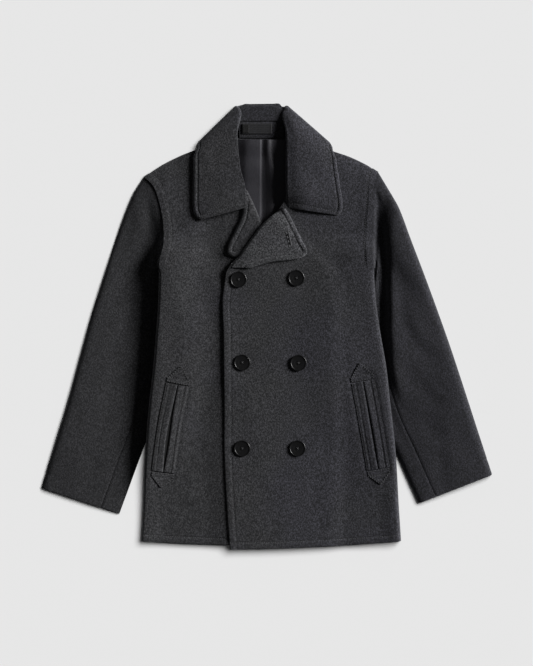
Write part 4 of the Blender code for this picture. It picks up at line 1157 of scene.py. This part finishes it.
def make_back(look, sewing):
    low, shares = body_rows(RIGHT)
    first, last = (
        np.concatenate([smooth(half.side, low), read_shares(half.armhole, shares)]) for half in HALVES
    )
    across = stops(BACK_WIDE, BACK_STEP, near=0.006, far=0.006, fine=0.0015) / BACK_WIDE
    bottom = first[0] + across[:, None] * (last[0] - first[0])
    bottom[:, 1] -= BACK_HEM_BOW * np.sin(math.pi * across) ** 0.6
    edge = np.array(SHOULDER_RIGHT[::-1] + BACK_NECKLINE + SHOULDER_LEFT)
    top_x = edge[0, 0] + across * (edge[-1, 0] - edge[0, 0])
    top = np.stack([top_x, np.interp(top_x, edge[:, 0], edge[:, 1])], axis=1)
    plan = patch(bottom, top, first, last)
    x, y = plan[..., 0], plan[..., 1]
    z = back_base(x, y) + creased(x, y, BACK_CREASES) * ease((0.16 - np.abs(x)) / 0.04)
    grid = np.dstack([plan, z])
    raised = -GROOVE * hump(insets(grid)["first"] - HEM_STITCH_IN, GROOVE_WIDE)
    made = shell("back_cloth", "back", grid, WOOL, look, raised=raised, free=("first",), flip=True)
    sewing.row(line_in(made, "first", HEM_STITCH_IN))
    return made


# ---- sleeves ----


def outside_body(x, y, half, slant):
    """How far out from the body's side edge, and slanting away from it above the underarm."""
    return np.abs(x) - np.abs(side_edge(y, half)) + slant * np.maximum(y - UNDERARM_Y, 0)


def sleeve_ring(start, end, seam_line, edge_z, crest, blend, bowed, half):
    """One ring of a sleeve's outer face, from the elbow seam round the outer edge and back."""
    width = np.linalg.norm(end - start)
    middle = np.linspace(ROLLED_TOP[-1][0], width - FRONT_SEAM_IN, MID_COLUMNS + 2)[1:-1]
    reach = [row[0] for row in ROLLED_TOP] + list(middle)
    reach += [width - inward for inward in (FRONT_SEAM_IN, ROLL_START)]
    reach = np.array(reach + [width - row[0] for row in ROLLED_INNER_TOP[::-1]])
    shares = [row[1] for row in ROLLED_TOP] + [1.0] * (MID_COLUMNS + 2)
    shares = np.array(shares + [row[1] for row in ROLLED_INNER_TOP[::-1]])
    chord = seam_line[-1] - seam_line[0]
    run = (seam_line - seam_line[0]) @ chord / (chord @ chord)
    bow = seam_line - seam_line[0] - run[:, None] * chord
    place = reach / width * (1 - bowed) + run * bowed
    plan = start + (end - start) * place[:, None] + bow * bowed
    x, y = plan.T
    outside = outside_body(x, y, half, 0.9)
    highest = TUCK_TOP + (SLEEVE_TOP - TUCK_TOP) * ease((outside - 0.001) / 0.013)
    slope = smooth(half.slope, np.linspace(0, len(half.slope) - 1, 120))
    upward = 1.2 * np.maximum(y - half.slope_y, 0) + half.lean * np.maximum(y - LEAN_Y, 0)
    level = np.interp(np.abs(x) - SLEEVE_LEAVES + upward, slope[:, 0], slope[:, 1])
    if half.low_slope:
        low = np.interp(outside, *zip(*half.low_slope))
        level = level + (low - level) * ease((LOW_SLOPE_Y - y) / 0.10)
    level = level * crest / SLEEVE_TOP
    own = np.minimum(level, highest) * shares
    met = np.minimum(edge_z, highest)
    met[0], met[-1] = own[0] * 0.45, own[-1] * 0.9
    top = np.column_stack([plan, own + (met - own) * blend])

    def base(distance, lift):
        return np.array([*(np.interp(distance, reach, top[:, axis]) for axis in (0, 1)), lift])

    outer = [base(ELBOW_SEAM_IN, 0.0)]
    outer += [base(row[0], row[1] * top[0, 2] / ROLLED_TOP[0][1]) for row in ROLLED_BASE[::-1]]
    inner = [base(width - d, share * top[-1, 2] / ROLLED_INNER_TOP[0][1]) for d, share in ROLLED_BASE]
    inner += [base(0.65 * width, 0.0), base(0.4 * width, 0.0), base(ELBOW_SEAM_IN, 0.0)]
    return np.array(outer + list(top) + inner)


def sleeve_rings(half):
    """Rings of a sleeve's outer face, from the armhole down to the cuff."""
    length = length_of(half.armhole)
    inner = [row[0] for row in ROLLED_INNER_TOP] + [ROLL_START, FRONT_SEAM_IN]
    outer = [length - row[0] for row in ROLLED_TOP[::-1]]
    middle = list(np.linspace(FRONT_SEAM_IN, outer[0], MID_COLUMNS + 2)[1:-1])
    shares = np.array(inner + middle + outer)[::-1] / length
    seam_line = read_shares(half.armhole, shares) + SEAM * np.array((half.sign, 0))
    edge_z = front_top(seam_line[:, 0], seam_line[:, 1], half) - 0.0006
    rows = [(*seam_line[0], *seam_line[-1], SLEEVE_TOP, 1.0), *half.stations]
    places = np.concatenate([np.linspace(0, 3, 7), np.arange(4, len(rows))])
    starts = smooth([row[:2] for row in rows], places)
    ends = smooth([row[2:4] for row in rows], places)
    crest = np.interp(places, range(len(rows)), [row[4] for row in rows])
    blend = np.interp(places, range(len(rows)), [row[5] for row in rows])
    bowed = np.clip(1 - places / 3, 0, 1) ** 1.5
    return np.array([
        sleeve_ring(starts[k], ends[k], seam_line, edge_z, crest[k], blend[k], bowed[k], half)
        for k in range(len(places))
    ])


def make_sleeve(half, look):
    """Both pieces of a sleeve, cut from one tube along its two seams."""
    right = half is RIGHT
    rings = sleeve_rings(half)
    seam = 1 + len(ROLLED_BASE) + len(ROLLED_TOP) + MID_COLUMNS
    middle = rings[len(rings) // 2]
    fine, run = run_of(middle)
    cut = np.interp(seam, fine, run)
    upper = places_at(middle, stops(cut, 0.0044, near=0.008, far=0.008, fine=0.0014))
    under = places_at(middle, cut + stops(run[-1] - cut, 0.0046, near=0.008, far=0.006, fine=0.0014))
    columns = np.concatenate([upper, under[1:]])
    outer_edge = rings[:, 1 + len(ROLLED_BASE)]
    rows = places_at(outer_edge, stops(length_of(outer_edge), 0.0038, near=0.012, far=0.018))
    full = refine(rings, rows, columns)
    x, y = full[..., 0], full[..., 1]
    facing = outward(np.concatenate([full[:, -2:-1], full, full[:, 1:2]], axis=1), right)[:, 1:-1]
    square = square_to(np.gradient(full[0, :, :2], axis=0))
    facing[0] -= square * np.sum(facing[0] * square, axis=1)[:, None]
    facing[0] /= np.linalg.norm(facing[0], axis=1)[:, None]
    soft = ease((facing[..., 2] - 0.2) / 0.5)
    soft *= ease((outside_body(x, y, half, 0.6) - 0.006) / 0.030)
    past_seam = insets(full)["first"]
    soft *= ease((past_seam - 0.004) / 0.03)
    depth, dip_at, dip_wide = half.dip
    beside = ease((half.dip_y - y) / 0.06) * ease((full[..., 2] - 0.007) / 0.004)
    nearer = half.dip_lean * np.maximum(y - DIP_LEAN_Y, 0)
    full[..., 2] -= depth * hump(past_seam - dip_at + nearer, dip_wide) * beside
    drift = 0.0005 * waved(x, y, 0.09, half.drift_seed)
    full[..., 2] += soft * (creased(x, y, SLEEVE_CREASES, half.sign) + drift)
    full[..., 2] = np.maximum(full[..., 2], 0)
    wall = np.clip(0.42 * full[..., 2], THIN_SLEEVE, WOOL)
    split = len(upper) - 1
    made = {}
    for part, a, b in (("upper", 0, split), ("under", split, len(columns) - 1)):
        grid = full[:, a : b + 1].copy()
        for column, inner in ((0, 1), (-1, -2)):
            back_in = grid[:, inner] - grid[:, column]
            back_in /= np.linalg.norm(back_in, axis=1)[:, None]
            grid[:, column] += back_in * 1.5 * SEAM
        inset = insets(grid)
        sides = np.minimum(inset["left"], inset["right"])
        raised = -SEAM_DIP * hump(sides, SEAM_DIP_WIDE)
        raised -= 0.5 * GROOVE * hump(inset["last"] - CUFF_STITCH_IN, CUFF_GROOVE_WIDE)
        node = f"sleeve_{half.name}_{part}"
        made[node] = shell(
            f"{node}_cloth", node, grid, wall[:, a : b + 1], look,
            raised=raised, free=("last",), flip=right, facing=facing[:, a : b + 1],
        )
    return made


# ---- collar, neck and lapels ----


def fold_stations(half):
    """Collar stations that turn from the top of the leaf to behind, round one fold line."""
    near, far = np.array(half.fold)
    made = []
    for angle in (12, 50, 90, 130, 168):
        turn = math.radians(angle)
        shift = -half.out * FOLD_RADIUS * (1 - math.sin(turn))
        z = FOLD_RADIUS * (1 + math.cos(turn))
        made.append((np.append(near + shift, z), np.append(far + shift, z), turn, half))
    return made


def collar_row(roll, free, normal, radius, depth, crown, droop):
    """One line of the collar's outer face, from inside its roll to its free edge."""
    length = np.linalg.norm(free - roll)
    along = (free - roll) / length
    row = [roll - normal * depth]
    for turn in np.linspace(math.pi / 2, 0.12, 8):
        inward = radius * (1 - math.sin(turn))
        row.append(roll + along * inward - normal * radius * (1 - math.cos(turn)))
    reach = np.concatenate([
        np.linspace(radius, length - CROWN_EDGE, 24)[:-1], length - np.linspace(CROWN_EDGE, 0, 20)
    ])
    for distance in reach:
        share = (distance - radius) / (length - radius)
        row.append(roll + along * distance + normal * crown * math.sin(math.pi * share) ** 0.8)
    row = np.array(row)
    past_roll = np.maximum((row - roll) @ along, 0)
    return row - normal * (droop * hump(past_roll, DROOP_WIDE))[:, None]


def collar_stations():
    """Stations round the collar, right leaf to left: points on its roll and free edge, turn, half."""
    right, left = (
        [(np.array(row[:3]), np.array(row[3:]), 0.0, half) for row in half.leaf] for half in HALVES
    )
    behind = [
        (np.array((*row[:2], 0.0)), np.array((*row[2:], 0.0)), math.pi, RIGHT) for row in FALL_BEHIND
    ]
    return right + fold_stations(RIGHT) + behind + fold_stations(LEFT)[::-1] + left[::-1]


def make_fall(look, sewing):
    """The collar's fall, one piece from leaf to leaf, turned to behind at both shoulders."""
    grid = []
    for roll, free, turn, half in collar_stations():
        normal = np.array((*half.out * math.sin(turn), math.cos(turn)))
        level = max(math.cos(turn), 0)
        free = free + (roll - free) / np.linalg.norm(roll - free) * half.fold_pull * math.sin(turn) ** 2
        radius = ROLL_RADIUS - half.end_tight * level * ease((ROLL_TIGHT_Y - roll[1]) / ROLL_TIGHT_FADE)
        depth = ROLL_DEPTH - FOLD_SHALLOW * math.sin(turn) ** 2
        droop = half.roll_droop * level
        grid.append(collar_row(roll, free, normal, radius, depth, COLLAR_CROWN * level, droop))
    grid = np.array(grid)
    middle = grid[:, 30]
    spaced = stops(length_of(middle), 0.0030, near=0.014, far=0.014, fine=0.0011)
    grid = smooth(grid, places_at(middle, spaced))
    grid[..., 2] = np.maximum(grid[..., 2], 0.0)
    inset = insets(grid)
    inset_end = np.minimum(inset["first"], inset["last"])
    near = np.minimum(inset_end, inset["right"])
    over = ease((grid[..., 2] - COLLAR_TOP_Z) / 0.002)
    x, y = grid[..., 0], grid[..., 1]
    fold = creased(x, y, COLLAR_CREASES) + 0.0003 * waved(x, y, 0.06, 0.9)
    grid[..., 2] += over * ease((near - 0.010) / 0.02) * ease((inset["left"] - 0.016) / 0.02) * fold
    thin = COLLAR_END_THIN * (1 - ease(inset["last"] / COLLAR_END_WIDE)) * over
    grid[..., 2] -= thin
    made = shell(
        "collar_fall_cloth", "collar_fall", grid, COLLAR_WOOL - thin, look,
        raised=stitched(near, STITCH_IN) * over * (0.4 + 0.6 * ease((inset_end - near) / 0.004)),
        free=("first", "last", "right"), flip=True,
    )
    sewing.row(line_in(made, "right", STITCH_IN, lambda p: p[2] > COLLAR_STITCH_Z))
    for side in ("first", "last"):
        sewing.row(line_in(
            made, side, STITCH_IN, lambda p: p[2] > COLLAR_STITCH_Z and abs(p[0]) > COLLAR_STITCH_X
        ))
    return made


def make_stand(look):
    """The stand inside the neck, stepped at its seam and turned over at its top."""
    across = np.linspace(0, 1, 60)
    bottom, top = read_shares(STAND_BOTTOM, across), read_shares(STAND_TOP, across)
    rise = np.linspace(0, 1, 52)[:, None, None]
    plan = bottom[None] * (1 - rise) + top[None] * rise
    level = NECK_LIFT + COLLAR_WOOL
    stand = np.dstack([plan, np.full(plan.shape[:2], level)])
    share = np.broadcast_to(rise[..., 0], plan.shape[:2])
    stand[..., 2] += STAND_STEP * ease((share - STAND_SEAM - 0.01) / 0.03)
    stand[..., 2] -= STAND_SEAM_DIP * hump(share - STAND_SEAM, 0.022)
    stand[..., 2] -= STAND_FOOT_DIP * hump(share, 0.03)
    turned = []
    for turn in np.linspace(0, math.pi / 2, 9)[1:]:
        last = stand[-1].copy()
        last[:, 1] += STAND_TURN * math.sin(turn)
        last[:, 2] -= STAND_TURN * (1 - math.cos(turn))
        turned.append(last)
    stand = np.concatenate([stand, np.array(turned)])
    return shell("collar_stand_cloth", "collar_stand", stand, STAND_WALL, look)


def make_loop(look, dark_square_look):
    """The hanger loop, ribbed inside its border, and a near-black square on its left end."""
    x = np.linspace(*LOOP_X, 46)[None] * np.ones((18, 1))
    y = np.linspace(*LOOP_Y, 18)[:, None] * np.ones((1, 46))
    z = np.full_like(x, NECK_LIFT + COLLAR_WOOL + GAP + LOOP_THICK)
    loop = np.dstack([x, y, z])
    border = np.minimum.reduce(list(insets(loop).values()))
    ribs = RIB * np.sin(2 * math.pi * y / RIB_PITCH) * ease((border - RIB_FROM) / 0.001)
    raised = 0.0002 * hump(border - 0.0012, 0.0012) + ribs
    label = shell(
        "hanger_loop_patch", "hanger_loop", loop, LOOP_THICK, look,
        raised=raised, free=ALL_ROUND,
    )
    u, v = np.meshgrid(np.linspace(*DARK_SQUARE_X, 14), np.linspace(*DARK_SQUARE_Y, 16))
    square = np.dstack([u, v, np.full_like(u, z[0, 0] + DARK_SQUARE_RISE)])
    tab = shell(
        "hanger_loop_tab", None, square, DARK_SQUARE_THICK, dark_square_look, free=ALL_ROUND,
    )
    return label, tab


def make_lining(look):
    """The pleated lining, drawn in toward the neck and hung from its seam."""
    y = np.linspace(*LINING_Y, 66)
    share = np.linspace(0, len(LINING_PLEATS) - 1, 96)
    x, pleats = smooth(LINING_PLEATS, share).T
    grid = np.zeros((len(y), len(x), 3))
    for i, height in enumerate(y):
        narrow = 1 - np.where(x < FOLD_X, *DRAWN_IN) * ease((height - DRAWN_Y) / DRAWN_FADE)
        row_x = FOLD_X + (x - FOLD_X) * narrow
        floor = back_base(row_x, np.full_like(row_x, height)) + WOOL + GAP
        hung = HUNG * ease((height - HUNG_Y) / HUNG_FADE)
        grid[i] = np.stack([row_x, np.full_like(x, height), floor + LINING + pleats + hung], axis=1)
    return shell("lining_back_cloth", "lining_back", grid, LINING, look)


def highest_near(x, y, half, reach):
    """The highest of a front's face at each place, and this far to its four sides."""
    steps = ((0, 0), (reach, 0), (-reach, 0), (0, reach), (0, -reach))
    return np.maximum.reduce([front_face(x + dx, y + dy, half) for dx, dy in steps])


def resting(plan, half, wall, reach):
    """A strip's outer face: its plan points, above the highest of the front near each."""
    return np.dstack([plan, highest_near(*plan.transpose(2, 0, 1), half, reach) + GAP + wall])


def laid_on(made, plan):
    """Points of a plan line on a piece, and the piece's normals there."""
    mesh = made["piece"].data
    tree = BVHTree.FromPolygons([v.co for v in mesh.vertices], [p.vertices for p in mesh.polygons])
    hits = [tree.ray_cast(Vector((x, y, 0.1)), Vector((0, 0, -1))) for x, y in plan]
    return np.array([hit[0] for hit in hits]), np.array([hit[1] for hit in hits])


def make_buttonhole(made, line, sewing, dark):
    """A worked buttonhole: purl stitches on both sides of a slit, and near-black capsules along the
    slit as painted shade in the cut.
    """
    start, end = np.array(line)
    length = np.linalg.norm(end - start)
    along = (end - start) / length
    across = np.array((-along[1], along[0]))
    for way in (-1, 1):
        for distance in np.arange(0, length, PURL_PITCH):
            inner = start + along * distance + across * way * PURL_START
            plan = inner + across * (way * np.linspace(0, PURL_LONG, 4))[:, None]
            sewing.row(laid_on(made, plan), **PURL)
    # Near-black capsules along the slit: painted shade in the cut.
    slit = laid_on(made, start + along * np.linspace(0.0005, length - 0.0005, 12)[:, None])
    dark.row(slit, **SLIT_SHADE_ROW)


def make_lapel(half, look, sewing):
    """A lapel turned over its roll, with a stitched outer edge."""
    right = half is RIGHT
    table = np.array(half.lapel)
    count = round(length_of(table[:, 2:]) / 0.0022)
    rows = smooth(table, np.linspace(0, len(table) - 1, count))
    roll, outer = rows[:, :2], rows[:, 2:]
    width = np.linalg.norm(outer - roll, axis=1)[:, None]
    along = (outer - roll) / width
    turn = np.minimum(LAPEL_ROLL, LAPEL_ROLL_SHARE * width)
    edge = np.minimum(LAPEL_EDGE, LAPEL_EDGE_SHARE * width)
    curl, flat, end = np.linspace(0, 1, 8), np.linspace(0, 1, 26), np.linspace(1, 0, 16)
    reach = np.concatenate([
        curl[None, :-1] ** 1.6 * turn,
        turn + flat[None, :-1] * (width - turn - edge),
        width - edge * end,
    ], axis=1)
    plan = roll[:, None] + along[:, None] * reach[..., None]
    from_foot = np.linalg.norm(plan - roll[-1], axis=-1)
    wall = LAPEL_WOOL - half.foot_thin * (1 - ease((from_foot - FOOT_START) / FOOT_FADE))
    grid = resting(plan, half, wall, 0.006)
    drop = (LAPEL_WOOL + WOOL) * (1 - rolled(reach, turn))
    swell = LAPEL_SWELL * np.sin(math.pi * np.clip(reach / width, 0, 1))
    grid[..., 2] += swell - drop
    edge_line = np.concatenate([outer, roll[-1:]]) if right else outer
    near = distance_to(plan, edge_line)
    lifted = ease((LAPEL_LIFT_IN - near) / LAPEL_LIFT_IN)
    lifted *= ease((LAPEL_LIFT_Y - grid[..., 1]) / LAPEL_LIFT_FADE)
    grid[..., 2] += half.lapel_lift * lifted
    raised = stitched(near, STITCH_IN, LAPEL_PUFF)
    node = f"lapel_{half.name}"
    made = shell(
        f"{node}_cloth", node, grid, wall, look, raised=raised, free=("right", "last"), flip=not right
    )
    made["inset"]["right"] = near
    sewing.row(line_in(made, "right", STITCH_IN, lambda p: p[1] < half.lapel_stitch_y))
    return made


# ---- pockets and buttons ----


def make_welt(half, part, way, line, out, gape, look, dark):
    """One welt: a strip beside the slit, sunk along its stitches, rolled at the slit's lip."""
    wall = half.welt_wall
    reach = stops(WELT_WIDE, 0.0012, near=0.003, far=0.003, fine=0.0006)
    offsets = gape[:, None] + (WELT_WIDE + SLIT_HALF - gape[:, None]) * reach[None] / WELT_WIDE
    grid = resting(line[:, None] + out[:, None] * (way * offsets)[..., None], half, wall, 0.0015)
    bands = (reach / WELT_GROOVE, (reach - WELT_GROOVE) / (WELT_WIDE - WELT_GROOVE))
    raised = sum(WELT_PUFF * np.sin(math.pi * np.clip(band, 0, 1)) for band in bands)
    raised += WELT_LIP * hump(reach - 0.003, 0.003) - WELT_SINK * hump(reach - WELT_GROOVE, 0.0010)
    raised -= 0.7 * wall * (1 - ease((WELT_WIDE - reach) / 0.0045))
    node = f"pocket_{half.name}_{part}_welt"
    made = shell(f"{node}_cloth", node, grid, wall, look, raised=raised[None], free=("left",))
    dark.row(line_in(made, "left", WELT_GROOVE), **half.stitch)
    dark.row(line_in(made, "right", BORDER_STITCH_IN), **half.stitch)
    return made


def make_tack(half, end, foot, axis, side, size, look, dark):
    """One tack: a stitched band across the slit's end, and a triangle that points away from it."""
    wide_size, tall_size = size
    step = np.concatenate([np.linspace(-0.5, 0.5, 12), np.linspace(0.55, 2.95, 34)])
    wide = np.interp(step, *zip(*TACK_OUTLINE))
    over = np.maximum(0, step - 0.5) / 2.45
    centre = foot + axis * (TACK_BAND * np.minimum(step, 0.5) + TACK_HIGH * tall_size * over)[:, None]
    spread = np.linspace(-1, 1, 41)
    plan = centre[:, None] + side * (TACK_HALF * wide_size * wide[:, None] * spread)[..., None]
    grid = resting(plan, half, TACK, 0.0015)
    inset = insets(grid)
    near = np.minimum(inset["last"], np.minimum(inset["left"], inset["right"]))
    raised = 0.0002 * ease(near / 0.003) - 0.0005 * hump(near - 0.0020, 0.0010)
    raised -= 0.0009 * hump(step - 0.5, 0.16)[:, None]
    node = f"pocket_{half.name}_{end}_tack"
    tack = shell(f"{node}_cloth", node, grid, TACK, look, raised=raised, free=ALL_ROUND)
    for border in ("left", "right"):
        dark.row(line_in(tack, border, 0.0020), **{**half.stitch, "radius": TACK_STITCH_RADIUS})
    for depth in (BORDER_STITCH_IN, TACK_BAND + 0.0004):
        dark.row(line_in(tack, "first", depth), **half.stitch)
    return tack


def make_pocket(half, look, mouth_look, dark):
    """A slit pocket: two welts, a near-black strip in its mouth as painted shade, and a tack at each
    end.
    """
    line = read_shares(half.pocket, np.linspace(0, 1, 64))
    along = np.gradient(line, axis=0)
    along /= np.linalg.norm(along, axis=1)[:, None]
    out = np.stack([along[:, 1], -along[:, 0]], axis=1) * -half.sign
    share = np.linspace(0, 1, len(line))
    gape = SLIT_HALF * 0.5 + half.gape * np.sin(math.pi * share**1.5) ** 1.3
    made = {
        part: make_welt(half, part, way, line, out, gape, look, dark)
        for part, way in (("front", -1), ("back", 1))
    }
    # A near-black strip laid along the slit, over the cloth there: painted shade in the pocket's mouth.
    mouth_wide = np.linspace(-1, 1, 7) * (gape[:, None] + 0.0006)
    mouth = resting(line[:, None] + out[:, None] * mouth_wide[..., None], half, MOUTH, 0.001)
    made["mouth"] = shell(f"pocket_{half.name}_mouth", None, mouth, MOUTH, mouth_look)
    for end, place, way, size in (("top", 0, -1, (1, 1)), ("bottom", -1, 1, (0.95, 0.75))):
        axis = along[place] * way
        foot = line[place] + axis * (TACK_BAND * 0.5 + 0.0022)
        made[end] = make_tack(half, end, foot, axis, out[place], size, look, dark)
    return made


def button_mesh(look):
    """A turned button with a raised rim, a dished middle and four holes."""
    profile = [(share * BUTTON_RADIUS, high * BUTTON_THICK) for share, high in BUTTON_PROFILE]
    sides = 72
    turn = 2 * math.pi * np.arange(sides) / sides
    points = [(0.0, 0.0, 0.0)]
    for radius, z in profile:
        points += [(radius * math.cos(a), radius * math.sin(a), z) for a in turn]
    points.append((0.0, 0.0, BUTTON_FACE * BUTTON_THICK))
    faces = [(0, 1 + (s + 1) % sides, 1 + s) for s in range(sides)]
    for ring in range(len(profile) - 1):
        for s in range(sides):
            a, b = 1 + ring * sides + s, 1 + ring * sides + (s + 1) % sides
            faces.append((a, b, b + sides, a + sides))
    last = 1 + (len(profile) - 1) * sides
    faces += [(last + s, last + (s + 1) % sides, len(points) - 1) for s in range(sides)]
    blank = bpy.data.meshes.new("button_blank")
    blank.from_pydata(points, [], faces)
    body = bpy.data.objects.new("button_blank", blank)
    bpy.context.scene.collection.objects.link(body)
    helpers = [body]
    for k in range(4):
        angle = math.pi * (0.25 + 0.5 * k)
        bpy.ops.mesh.primitive_cylinder_add(
            vertices=24, radius=HOLE_RADIUS, depth=0.02,
            location=(HOLE_OUT * math.cos(angle), HOLE_OUT * math.sin(angle), 0),
        )
        helpers.append(bpy.context.object)
        hole = body.modifiers.new("hole", "BOOLEAN")
        hole.operation = "DIFFERENCE"
        hole.object = helpers[-1]
    graph = bpy.context.evaluated_depsgraph_get()
    made = bpy.data.meshes.new_from_object(body.evaluated_get(graph))
    for helper in helpers:
        bpy.data.objects.remove(helper)
    made.name = "button"
    made.shade_smooth()
    made.set_sharp_from_angle(angle=math.radians(40))
    made.materials.clear()
    made.materials.append(look)
    return made


def make_buttons(look, thread_look):
    shape = button_mesh(look)
    for name, x, y in BUTTON_CENTRES:
        z = float(highest_near(x, y, LEFT, 0.010)) + GAP
        button = bpy.data.objects.new(f"button_{name}_turned", shape)
        button.location = (x, y, z)
        bpy.context.scene.collection.objects.link(button)
        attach(button, "root")
        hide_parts(f"button_{name}")
        shank = Sewing()
        above = z + BUTTON_FACE * BUTTON_THICK + 0.0003
        ends = np.linspace(-THREAD_REACH, THREAD_REACH, 9)[:, None]
        normals = np.tile((0.0, 0.0, 1.0), (9, 1))
        for slant in (1, -1):
            for shift in (-THREAD_APART, THREAD_APART):
                points = ends * (1, slant, 0) + (x + shift, y, above)
                shank.row((points, normals), **BUTTON_THREAD)
        shank.add(f"button_{name}_thread", thread_look, "button")


# ---- cuts, stage and view ----


def all_cuts():
    """Every cut: the coat's own, then those of both pockets."""
    yield from CUTS
    for half in HALVES:
        for part, width, length, share in POCKET_CUTS:
            piece, front = f"pocket_{half.name}_{part}", f"front_{half.name}"
            yield piece, width, length or half.slit_length, share, (front,)


def declare(pieces):
    """Go through every cut and look up what it lies on; the result is not kept."""
    for key, width, length, share, rests in all_cuts():
        [pieces[r]["piece"] if r in pieces else r for r in rests]


def lay_floor():
    floor = bpy.data.objects.new("floor", bpy.data.meshes.new("floor"))
    floor.data.from_pydata(
        [(-4, -4, 0), (4, -4, 0), (4, 4, 0), (-4, 4, 0)], [], [(0, 1, 2, 3)]
    )
    paper = Finish("paper")
    floor.data.materials.append(paper.set(Base_Color=(0.80, 0.80, 0.80, 1), Roughness=0.9))
    bpy.context.scene.collection.objects.link(floor)


def light_and_view():
    scene = bpy.context.scene
    world = bpy.data.worlds.new("room")
    scene.world = world
    world.use_nodes = True
    back = world.node_tree.nodes["Background"]
    back.inputs["Color"].default_value = (1, 1, 1, 1)
    back.inputs["Strength"].default_value = AMBIENT
    coat = bpy.data.collections.new("coat")
    ground = bpy.data.collections.new("ground")
    for shown in scene.objects:
        if shown.type == "MESH":
            (ground if shown.name == "floor" else coat).objects.link(shown)
    for (name, power, size, source), lit in ((COAT_LAMP, coat), (FLOOR_LAMP, ground)):
        sun = bpy.data.lights.new(name, "SUN")
        sun.energy = power
        sun.angle = math.radians(size)
        lamp = bpy.data.objects.new(name, sun)
        lamp.rotation_euler = Vector(source).to_track_quat("Z", "Y").to_euler()
        scene.collection.objects.link(lamp)
        lamp.light_linking.receiver_collection = lit
    lens = bpy.data.cameras.new("above")
    lens.sensor_fit = "AUTO"
    lens.angle = 2 * math.atan(0.5 * SEEN_LONG / CAMERA_HIGH)
    camera = bpy.data.objects.new("above", lens)
    camera.location = (*SEEN_MIDDLE, CAMERA_HIGH)
    scene.collection.objects.link(camera)
    scene.camera = camera
    scene.view_settings.view_transform = "Standard"
    scene.view_settings.look = "None"


def dress_coat():
    """Every finish and every piece, then the floor, the light and the view."""
    wool = heathered_wool("charcoal_melton", CHARCOAL_DARK, CHARCOAL_LIGHT, COOL)
    # The same melton darker, for the sleeves and the stand: painted shade.
    shaded_wool = heathered_wool("sleeve_melton", CHARCOAL_DARK, SHADED_CHARCOAL_LIGHT, COOL)
    # The same melton lighter, for the left lapel that faces the lamp: painted light.
    lit_wool = heathered_wool("facing_melton", LIT_LAPEL_DARK, LIT_LAPEL_LIGHT, COOL)
    cotton = thread("charcoal_thread", (0.020, 0.020, 0.022), (0.075, 0.075, 0.080))
    patch_look = satin("patch_twill", (0.007, 0.007, 0.008), (0.013, 0.013, 0.015))
    # Near-black finish for the square on the loop's left end.
    dark_square_look = satin("tab_twill", (0.001, 0.001, 0.001), (0.002, 0.002, 0.002))
    # Near-black wool for the pocket slits and the buttonhole's cut: painted shade.
    mouth_look = heathered_wool("pocket_shade", (0.002, 0.002, 0.002), (0.006, 0.006, 0.006), COOL)
    lining_look = satin("charcoal_satin", (0.0158, 0.0152, 0.0190), (0.0236, 0.0225, 0.0283))
    sewing, dark_rows = Sewing(), Sewing()
    pieces = {"back": make_back(wool, sewing), "lining": make_lining(lining_look)}
    pieces |= {f"front_{half.name}": make_front(half, wool, sewing) for half in HALVES}
    # Sleeves in the darker melton: painted shade.
    for half in HALVES:
        pieces |= make_sleeve(half, shaded_wool)
    # The stand in the darker melton: painted shade.
    pieces |= {"fall": make_fall(wool, sewing), "stand": make_stand(shaded_wool)}
    pieces["label"], pieces["tab"] = make_loop(patch_look, dark_square_look)
    # The left lapel, which faces the lamp, takes the lighter melton: painted light.
    for half, lapel_wool in ((RIGHT, wool), (LEFT, lit_wool)):
        pieces[f"lapel_{half.name}"] = make_lapel(half, lapel_wool, sewing)
        made = make_pocket(half, wool, mouth_look, dark_rows)
        pieces |= {f"pocket_{half.name}_{part}": piece for part, piece in made.items()}
    # Near-black capsules along the buttonhole's slit: painted shade.
    slit_shade = Sewing()
    make_buttonhole(pieces["lapel_left"], BUTTONHOLE, sewing, slit_shade)
    slit_shade.add("buttonhole_slit", mouth_look)
    sewing.add("stitching", cotton)
    dark_cotton = thread("black_thread", (0.004, 0.004, 0.005), (0.018, 0.018, 0.020))
    dark_rows.add("pocket_stitching", dark_cotton)
    make_buttons(polished("black_resin", (0.0012, 0.0012, 0.0014)), dark_cotton)
    declare(pieces)
    lay_floor()
    light_and_view()


dress_coat()
